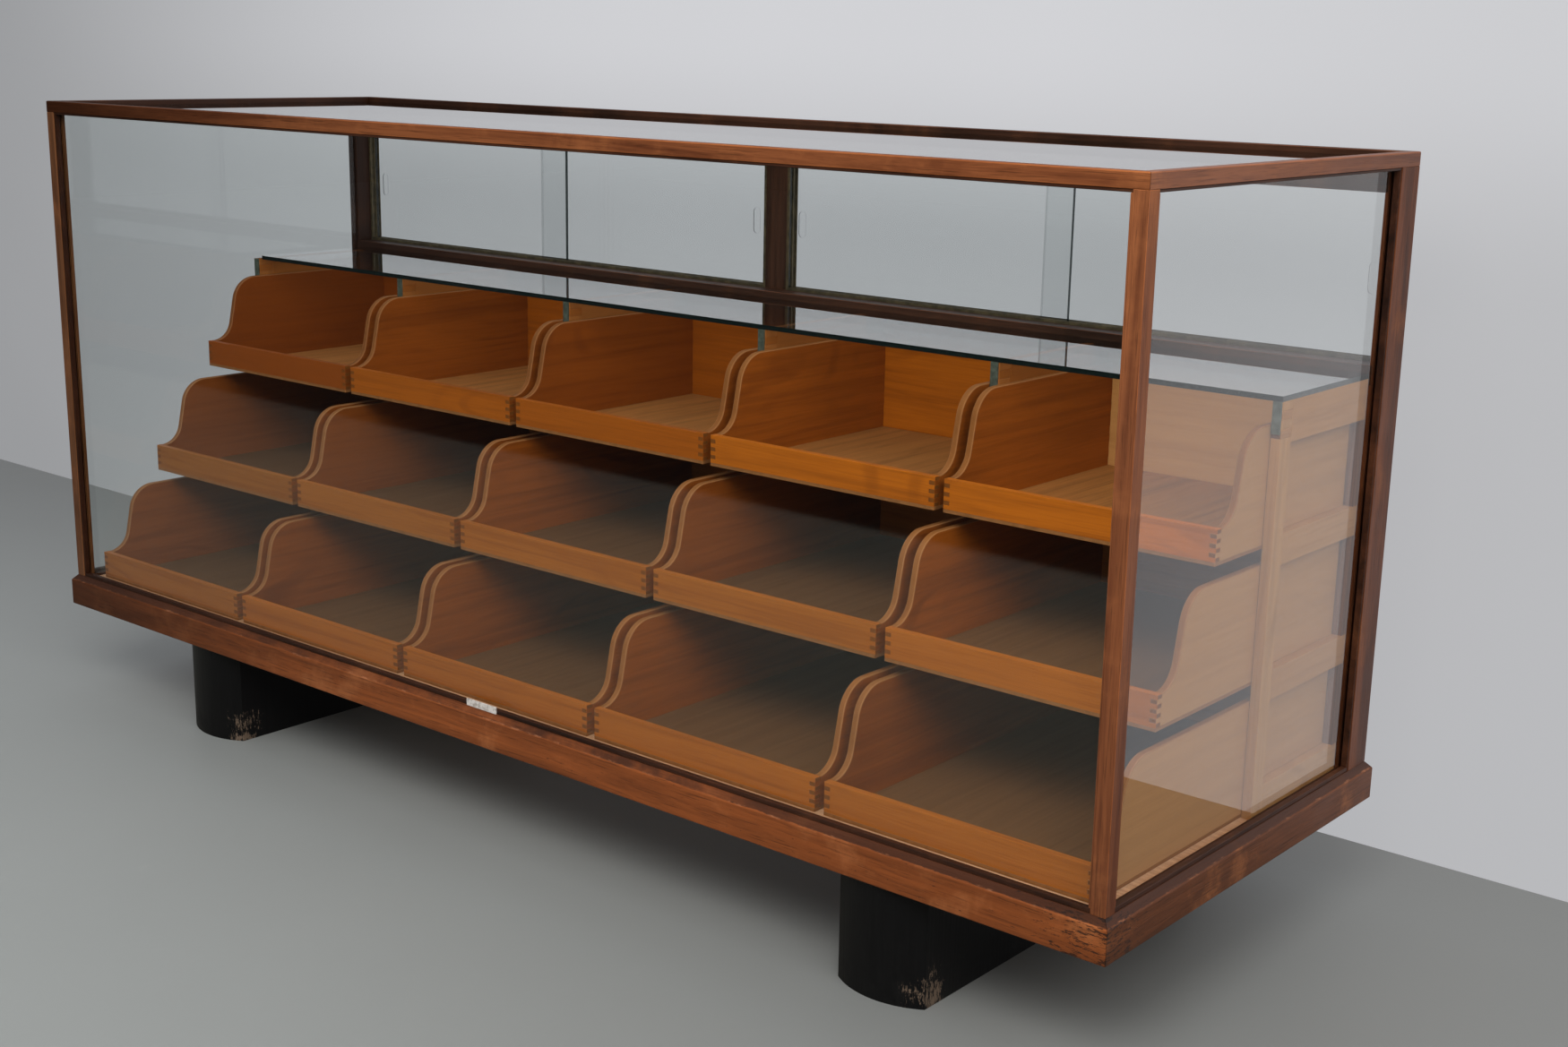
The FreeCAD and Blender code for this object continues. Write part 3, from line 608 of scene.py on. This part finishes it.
# Darker copies of the polish for the rear posts, the rear rails and the inner top rails: old dark
# polish, and painted shade on these pieces deep in the case.
shaded_face = (0.014, 0.006, 0.003, 1), (0.062, 0.024, 0.012, 1)
shaded_edge = (0.05, 0.018, 0.009, 1), (0.14, 0.05, 0.024, 1)
shaded_woods = []
for number, axis in enumerate(grain_axes):
    face = mahogany(f"old_polish_{axis}", number, *shaded_face, 0.1)
    edge = mahogany(f"old_polish_edge_{axis}", number, *shaded_edge, 0.3)
    shaded_woods.append((face, edge))
# The rear right post gets its own darker copy of the polish, which is painted shade. The front left
# post gets its own copy with less of the painted shade at the left-hand end.
right_post_woods = [
    mahogany("right_post_face", 2, (0.045, 0.013, 0.005, 1), (0.15, 0.045, 0.016, 1), 0.25),
    mahogany("right_post_edge", 2, (0.05, 0.016, 0.006, 1), (0.15, 0.048, 0.018, 1), 0.3),
]
left_post_woods = [
    mahogany("left_post_face", 2, (0.09, 0.033, 0.012, 1), (0.24, 0.095, 0.036, 1), 0.5, dim=0.3),
    mahogany("left_post_edge", 2, (0.12, 0.045, 0.016, 1), (0.32, 0.13, 0.05, 1), 0.5, dim=0.3),
]
for node, width in rounded_by.items():
    woods = (face_woods[2], edge_woods[2])
    if node == "rear_right_post":
        woods = right_post_woods
    elif node == "front_left_post":
        woods = left_post_woods
    elif node.startswith("rear"):
        woods = shaded_woods[2]
    ease(dress(node, *woods), width, segments=3, worn_slot=1)
for node in ("head_rail", "rear_mid_rail"):
    ease(dress(node, *shaded_woods[0]), rail_rounding, worn_slot=1)


# ---------------------------------------------------------------- top frame
# A slim mahogany frame mitred at the corners. The top glass drops into the rebate behind its rim,
# and the frame's outer edges are rubbed round.

rim_width = 0.014
ledge_height = 0.003
rail_width = 0.022
top_rounding = (0.001, 0, 0, 0, 0.001, 0.0014)
for side in ("front", "left", "right", "back"):
    node = f"top_{side}_rail"
    low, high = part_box(node)
    ledge = low.z + ledge_height
    section = [
        (0, low.z),
        (rail_width, low.z),
        (rail_width, ledge),
        (rim_width, ledge),
        (rim_width, high.z),
        (0, high.z),
    ]
    number = 0 if side in ("front", "back") else 1
    faces = [face_woods[number], edge_woods[number]]
    # The left and back top rails take the darker copies: painted shade on their inner faces.
    if side in ("left", "back"):
        faces = shaded_woods[number]
    mitred_rail(node, side, section, top_rounding, faces)


# ---------------------------------------------------------------- glass
# Drawn plate, faintly green, and much greener and darker in its cut edges. The top plate lies in
# its frame, the others stand behind beads, and the shelf lies loose on the tray stack.

head_on_mirror = 0.043


def plate_glass(name, tint, edge, through, rise=4.5):
    """Clear plate, thick along axis through, that mirrors more the flatter it is looked at."""
    glass = Finish(name)
    facing = glass.node("ShaderNodeLayerWeight", {}, {"Blend": 0.5}, output="Facing")
    clear = glass.node("ShaderNodeBsdfTransparent", {}, {"Color": tint})
    gloss = glass.node("ShaderNodeBsdfGlossy", {}, {"Roughness": 0.0})
    mirror = head_on_mirror + (1 - head_on_mirror) * facing**rise
    pane = glass.node("ShaderNodeMixShader", {}, {0: mirror, 1: clear, 2: gloss})
    normal = glass.node("ShaderNodeNewGeometry", output="True Normal")
    behind = glass.node("ShaderNodeNewGeometry", output="Backfacing")
    cut = glass.parts(normal)[through].size().below(0.5) * (1 - 0.8 * behind)
    ground = Wire(glass, glass.skin.outputs[0])
    glass.wear(edge, 0.2)
    whole = glass.node("ShaderNodeMixShader", {}, {0: cut, 1: pane, 2: ground})
    glass.feed(glass.output.inputs["Surface"], whole)
    return glass.material


pane_tint = (0.968, 0.984, 0.982, 1)
door_tint = (0.985, 0.993, 0.992, 1)
cut_green = (0.004, 0.012, 0.010, 1)
end_plate = plate_glass("end_plate", (0.978, 0.988, 0.986, 1), cut_green, 0)
dress("front_pane", plate_glass("front_plate", pane_tint, cut_green, 1))
dress("left_end_pane", end_plate)
dress("right_end_pane", end_plate)
dress("top_pane", plate_glass("top_plate", pane_tint, cut_green, 2))
dress("glass_shelf", plate_glass("shelf_plate", door_tint, (0.003, 0.008, 0.007, 1), 2, 2.8))


# ---------------------------------------------------------------- glazing beads and label
# Small mahogany beads hold the front and end panes from outside. Like the boards of the trays, each
# is an outline with its grain along one side. A blank metal label is pinned to the lower front bead.

scrap = bpy.data.meshes.new("offcut")
chance = random.Random(7)
FACE, EDGE, ARRIS, END = 0, 1, 2, 3
bent_angle, corner_angle = 0.6, 1.2
shift_reach = 40


def board(
    shape, outline, across, start, thick, along, eased=0.0004, soft=(), soft_radius=0.0015, tone=None
):
    """Adds a board to shape: an outline in the other two axes, thick along axis across.

    along is the axis of the grain, eased the rounding of sharp edges. soft numbers the outline's
    sides that are rubbed round by soft_radius. tone picks the board's colour, or is left to chance.
    """
    plane = [axis for axis in range(3) if axis != across]
    piece = bmesh.new()
    grain = piece.verts.layers.float_vector.new("grain")
    tones = piece.verts.layers.float.new("tone")
    rings = []
    for level in (start, start + thick):
        ring = []
        for point in outline:
            spot = Vector((0, 0, 0))
            spot[across] = level
            spot[plane[0]], spot[plane[1]] = point
            ring.append(piece.verts.new(spot))
        rings.append(ring)
    count = len(outline)
    strips = []
    for index in range(count):
        after = (index + 1) % count
        quad = (rings[0][index], rings[0][after], rings[1][after], rings[1][index])
        strips.append(piece.faces.new(quad))
    piece.faces.new(rings[0][::-1])
    piece.faces.new(rings[1])
    bmesh.ops.recalc_face_normals(piece, faces=piece.faces)
    rims = set()
    for index in soft:
        strips[index].material_index = EDGE
        for ring in rings:
            rims.add(piece.edges.get((ring[index], ring[(index + 1) % count])))
    bends = [edge for edge in piece.edges if edge.calc_face_angle() > bent_angle]
    sharp = [edge for edge in bends if edge not in rims]
    shared = {"profile": 0.5, "affect": "EDGES", "clamp_overlap": True}
    bmesh.ops.bevel(piece, geom=sharp, offset=eased, segments=1, **shared)
    if rims:
        corners = [edge for edge in piece.edges if edge.calc_face_angle() > corner_angle]
        rims = [edge for edge in corners if EDGE in [face.material_index for face in edge.link_faces]]
        bmesh.ops.bevel(piece, geom=rims, offset=soft_radius, segments=3, material=ARRIS, **shared)
    others = [axis for axis in range(3) if axis != along]
    shift = [chance.uniform(-shift_reach, shift_reach) for _ in range(3)]
    shade = chance.random() if tone is None else tone
    for vert in piece.verts:
        spot = (vert.co[along], vert.co[others[0]], vert.co[others[1]])
        vert[grain] = [value + offset for value, offset in zip(spot, shift)]
        vert[tones] = shade
    for face in piece.faces:
        if face.material_index == FACE and abs(face.normal[along]) > 0.9:
            face.material_index = END
    piece.to_mesh(scrap)
    piece.free()
    shape.from_mesh(scrap)


def new_shape():
    shape = bmesh.new()
    shape.verts.layers.float_vector.new("grain")
    shape.verts.layers.float.new("tone")
    return shape


def rectangle(low, high):
    return [low, (high[0], low[1]), high, (low[0], high[1])]


bead_width = 0.003
sill_bead_height = 0.005
bead_easing = 0.0006
bead_shades = (0.012, 0.005, 0.003, 1), (0.06, 0.02, 0.009, 1)
bead_woods = []
for number, axis in enumerate(grain_axes):
    bead_woods.append(mahogany(f"bead_{axis}", number, *bead_shades, 0.1))
for node, through in (("front_beads", 1), ("left_end_beads", 0), ("right_end_beads", 0)):
    low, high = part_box(node)
    run = 1 - through
    shape = new_shape()
    inner_low = low.z + sill_bead_height
    inner_high = high.z - bead_width
    strips = [
        (low[run], high[run], low.z, inner_low, run),
        (low[run], high[run], inner_high, high.z, run),
        (low[run], low[run] + bead_width, inner_low, inner_high, 2),
        (high[run] - bead_width, high[run], inner_low, inner_high, 2),
    ]
    for start, end, bottom, top, along in strips:
        done = len(shape.faces)
        outline = rectangle((start, bottom), (end, top))
        thick = high[through] - low[through]
        board(shape, outline, through, low[through], thick, along, bead_easing)
        beside_right_post = along == 2 and (start > 0) == (through == 1)
        shape.faces.ensure_lookup_table()
        for face in shape.faces[done:]:
            face.material_index = 1 if beside_right_post else 0
    mesh_piece(f"{node}_strips", shape, [bead_woods[run], face_woods[2]], node)

bright_tin, dull_tin = (0.78, 0.74, 0.70, 1), (0.34, 0.29, 0.25, 1)
tin = Finish("label_metal")
place = tin.place()
brushed = tin.noise(place, (40.0, 900.0, 900.0), 3)
tarnish = tin.noise(place, 180.0, 4)
colour = tin.blend(tarnish.fade(0.4, 0.75), bright_tin, dull_tin)
label_metal = tin.wear(colour, 0.45 + 0.2 * brushed, brushed, 0.0001, Metallic=0.3)
ease(dress("sill_label", label_metal), 0.0004)


# ---------------------------------------------------------------- sliding doors and channels
# Four glass doors with ground finger grips run in thin brass channels, two in each rear bay, one
# behind the other. Short upright channels at the posts take their closing edges.

clean_brass, dull_brass = (0.15, 0.115, 0.06, 1), (0.055, 0.045, 0.027, 1)
brass = Finish("channel_brass")
place = brass.place()
drawn = brass.noise(place, (12.0, 400.0, 12.0), 3)
tarnish = brass.noise(place, 60.0, 5, 0.65)
colour = brass.blend(tarnish.fade(0.3, 0.7), clean_brass, dull_brass)
channel_brass = brass.wear(colour, 0.35 + 0.25 * tarnish, drawn, 0.0001, Metallic=0.5)
for node in ("lower_door_channels", "upper_door_channels", "upright_door_channels"):
    dress(node, channel_brass)
door_plate = plate_glass("door_plate", door_tint, cut_green, 1)
for node in nodes:
    if node.endswith("_door"):
        dress(node, door_plate)


# ---------------------------------------------------------------- partitions, runners and muntins
# Frames of light wood between the tray columns: a front post, and bars from it to the rear muntins,
# the top one combed into the post. Runners on both sides carry the upper trays. Small brass plates
# on the post tops hold the glass shelf.


def light_wood(name, shades, dark, roughness=0.42, streaky=0.45, curly=0.4):
    """Light wood under old varnish. A board's tone, from 0 to 1, picks its colour among shades."""
    wood = Finish(name)
    grain = wood.attribute("grain")
    tone = wood.attribute("tone", "Fac")
    fibres = wood.noise(grain, (16.0, 1100.0, 1100.0), 2, 0.6)
    bands = wood.noise(grain, (2.2, 75.0, 75.0), 5, 0.65, 0.5)
    rings = (wood.noise(grain, (1.8, 8.0, 8.0), 1, 0.4) * 95).wave()
    patches = wood.noise(grain, (5.0, 9.0, 9.0), 3)
    colour = shades[-1]
    if len(shades) > 1:
        colour = wood.blend(tone.fade(0.5, 1.0), shades[1], shades[2])
        colour = wood.blend(tone.fade(0.0, 0.5), shades[0], colour)
    colour = wood.blend(bands.fade(0.4, 0.7) * streaky, colour, dark)
    colour = wood.blend(rings.fade(0.6, 1.0) * patches.fade(0.5, 0.75) * curly, colour, dark)
    colour = wood.blend(fibres.fade(0.45, 0.7) * 0.3, colour, dark)
    rough = roughness + 0.14 * patches + 0.1 * fibres
    return wood.wear(colour, rough, fibres + 0.4 * bands, pore_depth, Specular_IOR_Level=0.12)


stack_shades = ((0.45, 0.22, 0.075, 1), (0.34, 0.13, 0.035, 1), (0.28, 0.085, 0.014, 1))
stack_wood = light_wood("partition_wood", stack_shades, (0.20, 0.07, 0.014, 1), 0.45, 0.3)
stack_end = light_wood("partition_end_grain", [(0.17, 0.06, 0.015, 1)], (0.08, 0.028, 0.008, 1), 0.6)
post_depth = 0.024
bar_height = 0.035
top_bar_height = 0.046
bar_finger = 0.01
bar_fingers = 4
finger_easing = 0.0005
tray_lift = 0.0004
bar_drop = 0.02
tier_pitch = 0.152
tiers = 3
partitions = 6
for number in range(1, partitions + 1):
    node = f"partition_{number}"
    low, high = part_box(node)
    thick = high.x - low.x
    shape = new_shape()
    back = low.y + post_depth
    joint_low = high.z - bar_fingers * bar_finger
    # The last partition, seen through the right end pane, takes the palest shade: paler wood, together
    # with painted light and reflection from the right.
    tone = 0.0 if number == partitions else 0.75
    post = rectangle((low.y, low.z), (back, joint_low))
    board(shape, post, 0, low.x, thick, 2, tone=tone)
    levels = [(low.z, bar_height)]
    for tier in range(1, tiers):
        levels.append((low.z + tier * tier_pitch + tray_lift - bar_drop, bar_height))
    levels.append((high.z - top_bar_height, top_bar_height))
    for bottom, tall in levels:
        bar = rectangle((back, bottom), (high.y, bottom + tall))
        board(shape, bar, 0, low.x, thick, 1, tone=tone + chance.uniform(0, 0.2))
    for step in range(bar_fingers):
        top = high.z - step * bar_finger
        finger = rectangle((low.y, top - bar_finger), (back, top))
        from_bar = step % 2
        along = 1 if from_bar else 2
        board(shape, finger, 0, low.x, thick, along, finger_easing, tone=tone + 0.25 * from_bar)
    mesh_piece(f"{node}_boards", shape, [stack_wood, stack_wood, stack_wood, stack_end], node)


def plain_wood(name, scales, shades, roughness, rough_lines):
    """Wood in fine straight lines, for the strips behind and beside the trays."""
    wood = Finish(name)
    lines = wood.noise(wood.place(), scales, 3)
    colour = wood.blend(lines.fade(0.3, 0.7), *shades)
    return wood.wear(colour, roughness + rough_lines * lines, lines, 0.0002)


runner_shades = (0.17, 0.075, 0.03, 1), (0.30, 0.15, 0.065, 1)
muntin_shades = (0.09, 0.035, 0.014, 1), (0.19, 0.075, 0.03, 1)
dress("tray_runners", plain_wood("runner_wood", (500.0, 9.0, 500.0), runner_shades, 0.45, 0.2))
dress("rear_muntins", plain_wood("muntin_wood", (300.0, 300.0, 5.0), muntin_shades, 0.42, 0.15))

green_patina, dark_patina = (0.16, 0.19, 0.15, 1), (0.07, 0.085, 0.065, 1)
plate = Finish("plate_brass")
place = plate.place()
patina = plate.noise(place, 130.0, 5, 0.65)
scratched = plate.noise(place, (900.0, 900.0, 40.0), 2)
colour = plate.blend(patina.fade(0.3, 0.7), green_patina, dark_patina)
plate_brass = plate.wear(colour, 0.4 + 0.2 * patina, scratched, 0.0001, Metallic=0.5)
ease(dress("shelf_plates", plate_brass), 0.0003)


# ---------------------------------------------------------------- trays
# Each tray is combed together from a low front, two S-shaped sides and a back over a plywood
# bottom, with a turned knob at the back. The S edges are rubbed pale and round by hands.

# The first shade of each list goes to the lower tiers: painted shade under the trays above.
honey_shades = ((0.31, 0.105, 0.016, 1), (0.46, 0.12, 0.006, 1), (0.24, 0.052, 0.004, 1))
side_shades = ((0.21, 0.056, 0.009, 1), (0.29, 0.072, 0.006, 1), (0.20, 0.046, 0.005, 1))
edge_shades = ((0.24, 0.095, 0.03, 1), (0.26, 0.095, 0.024, 1), (0.19, 0.065, 0.016, 1))
arris_shades = ((0.29, 0.13, 0.05, 1), (0.31, 0.125, 0.04, 1), (0.25, 0.09, 0.03, 1))
ply_shades = ((0.125, 0.06, 0.025, 1), (0.34, 0.13, 0.033, 1), (0.42, 0.165, 0.045, 1))
tray_woods = [
    light_wood("tray_wood", honey_shades, (0.19, 0.045, 0.004, 1), 0.42, 0.5),
    light_wood("tray_edge", edge_shades, (0.12, 0.04, 0.01, 1), 0.5, 0.2),
    light_wood("tray_arris", arris_shades, (0.24, 0.10, 0.035, 1), 0.45, 0.4),
    light_wood("tray_end_grain", [(0.19, 0.06, 0.010, 1)], (0.11, 0.034, 0.006, 1), 0.55),
    light_wood("tray_side_wood", side_shades, (0.12, 0.026, 0.003, 1), 0.42, 0.5, 0.6),
    light_wood("tray_plywood", ply_shades, (0.085, 0.035, 0.012, 1), 0.55, 0.4, 0.3),
    light_wood("plywood_edge", [(0.27, 0.11, 0.035, 1)], (0.15, 0.06, 0.018, 1), 0.55),
    mahogany("knob_wood", 2, (0.08, 0.024, 0.008, 1), (0.2, 0.06, 0.018, 1), 0.3),
    # The outermost tray side gets paler wood with painted light from the right. The back of the last
    # top tray is painted paler, which is painted light and reflection.
    light_wood("outer_side_wood", [(0.42, 0.20, 0.07, 1)], (0.31, 0.14, 0.05, 1), 0.42, 0.4),
    light_wood("lit_end_back_wood", [(0.52, 0.25, 0.08, 1)], (0.38, 0.16, 0.045, 1), 0.42, 0.4),
]
SIDE, PLY, PLY_EDGE, KNOB, OUTER, END_BACK = 4, 5, 6, 7, 8, 9

ply_thick, front_thick, side_thick, back_thick = 0.004, 0.009, 0.008, 0.012
front_height, side_height, back_height = 0.039, 0.134, 0.146
front_finger, front_notches = 0.005, 3
back_finger, back_notches = 0.01, 6
lower_radius, upper_radius, slope = 0.032, 0.04, math.radians(78)
curve_start = 0.008
curve_steps = 10
bottom_easing, tray_easing = 0.0004, 0.0003
side_rubbing = 0.0012
knob_level = 0.075
knob_length = 0.02
knob_profile = [
    (0.0, 0.0085),
    (0.002, 0.0072),
    (0.006, 0.0068),
    (0.009, 0.009),
    (0.0105, 0.0126),
    (0.013, 0.014),
    (0.016, 0.0136),
    (0.0185, 0.0105),
]
knob_nose = [(0.0003, 0.005), (0.0, 0.001)]


def comb(edge, inward, finger, notches, bottom):
    """Points up an edge with notches cut inward from it."""
    points = []
    root = edge + inward
    for notch in range(notches):
        level = bottom + (2 * notch + 1) * finger
        top = level + finger
        points += [(edge, level), (root, level), (root, top), (edge, top)]
    return points


def s_curve():
    """The side's rubbed edge from the low front to the full height, as (depth, level) points."""
    points = []
    for step in range(curve_steps + 1):
        turn = slope * step / curve_steps
        rise = front_height + lower_radius * (1 - math.cos(turn))
        points.append((curve_start + lower_radius * math.sin(turn), rise))
    foot = points[-1]
    crest = side_height - upper_radius * (1 - math.cos(slope))
    head = foot[0] + (crest - foot[1]) / math.tan(slope) + upper_radius * math.sin(slope)
    for step in range(curve_steps, -1, -1):
        turn = slope * step / curve_steps
        rise = side_height - upper_radius * (1 - math.cos(turn))
        points.append((head - upper_radius * math.sin(turn), rise))
    return points


def turned(shape, profile, middle, level, slot, facets=24):
    """A round piece on an axis front to back, from (place, radius) points of its profile."""
    rings = []
    for y, radius in profile:
        ring = []
        for facet in range(facets):
            turn = 2 * math.pi * facet / facets
            x = middle + radius * math.cos(turn)
            ring.append(shape.verts.new((x, y, level + radius * math.sin(turn))))
        rings.append(ring)
    for near, far in zip(rings, rings[1:]):
        for facet in range(facets):
            after = (facet + 1) % facets
            face = shape.faces.new((near[facet], far[facet], far[after], near[after]))
            face.material_index = slot
    shape.faces.new(rings[0]).material_index = slot
    shape.faces.new(rings[-1][::-1]).material_index = slot


def reslot(shape, done, slots):
    """Gives the faces added since the shape had done faces other finishes of the tray."""
    shape.faces.ensure_lookup_table()
    for face in shape.faces[done:]:
        face.material_index = slots.get(face.material_index, face.material_index)


columns = 5
# Tones by tier and column. Lower tiers take darker shades, painted shade under the trays above. Along
# each tier the tones paint light falling off towards the left, and a small random part is added.
tier_shade_tones = {
    "bottom": (0.12, 0.25, 0.25, 0.25, 0.25),
    "middle": (0.0, 0.12, 0.2, 0.17, 0.25),
    "top": (0.9, 0.7, 0.7, 0.52, 0.52),
}
for tier_name, column_shade_tones in tier_shade_tones.items():
    for column in range(columns):
        node = f"{tier_name}_tray_{column + 1}"
        low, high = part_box(node)
        back = high.y - knob_length
        walls = low.z + ply_thick
        tone = column_shade_tones[column] + chance.uniform(0, 0.05)
        shape = new_shape()
        bottom = rectangle((low.x, low.y), (high.x, back))
        # The bottoms of the lower trays take a still lower tone: painted shade under the trays above.
        ply_shade_tone = tone if tier_name == "top" else tone * 0.4
        rubbed = {"soft": range(4), "soft_radius": bottom_easing}
        board(shape, bottom, 2, low.z, ply_thick, 1, bottom_easing, tone=ply_shade_tone, **rubbed)
        reslot(shape, 0, {FACE: PLY, EDGE: PLY_EDGE, ARRIS: PLY_EDGE, END: PLY_EDGE})
        for y, thick, height, finger, notches in (
            (low.y, front_thick, front_height, front_finger, front_notches),
            (back - back_thick, back_thick, back_height, back_finger, back_notches),
        ):
            top = low.z + height
            outline = [(low.x, walls), (high.x, walls)]
            outline += comb(high.x, -side_thick, finger, notches, walls)
            outline += [(high.x, top), (low.x, top)]
            outline += comb(low.x, side_thick, finger, notches, walls)[::-1]
            done = len(shape.faces)
            board(shape, outline, 1, y, thick, 0, tray_easing, tone=tone)
            # Painted light and reflection: the back board of the last top tray is painted paler.
            if y > low.y and node == "top_tray_5":
                reslot(shape, done, {FACE: END_BACK})
        for x in (low.x, high.x - side_thick):
            side_front = low.y + front_thick
            side_back = back - back_thick
            outline = [(side_front, walls)]
            outline += comb(side_front, -front_thick, front_finger, front_notches, walls)
            outline += [(side_front, low.z + front_height)]
            first = len(outline) - 1
            outline += [(low.y + step, low.z + rise) for step, rise in s_curve() if step > front_thick]
            outline += [(side_back, low.z + side_height)]
            last = len(outline) - 1
            outline += comb(side_back, back_thick, back_finger, back_notches, walls)[::-1]
            outline += [(side_back, walls)]
            side_tone = min(1, max(0, tone + chance.uniform(-0.1, 0.2)))
            done = len(shape.faces)
            rubbed = {"soft": range(first, last), "soft_radius": side_rubbing}
            board(shape, outline, 0, x, side_thick, 1, tray_easing, tone=side_tone, **rubbed)
            # The outermost side is painted paler: paler wood, together with painted light from the
            # right.
            outermost = column == columns - 1 and x > low.x
            reslot(shape, done, {FACE: OUTER if outermost else SIDE})
        knob = [(back + step, radius) for step, radius in knob_profile]
        knob += [(high.y - step, radius) for step, radius in knob_nose]
        turned(shape, knob, (low.x + high.x) / 2, low.z + knob_level, KNOB)
        body = nodes[node]["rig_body"]
        mesh_piece(f"{node}_boards", shape, tray_woods, node, body)
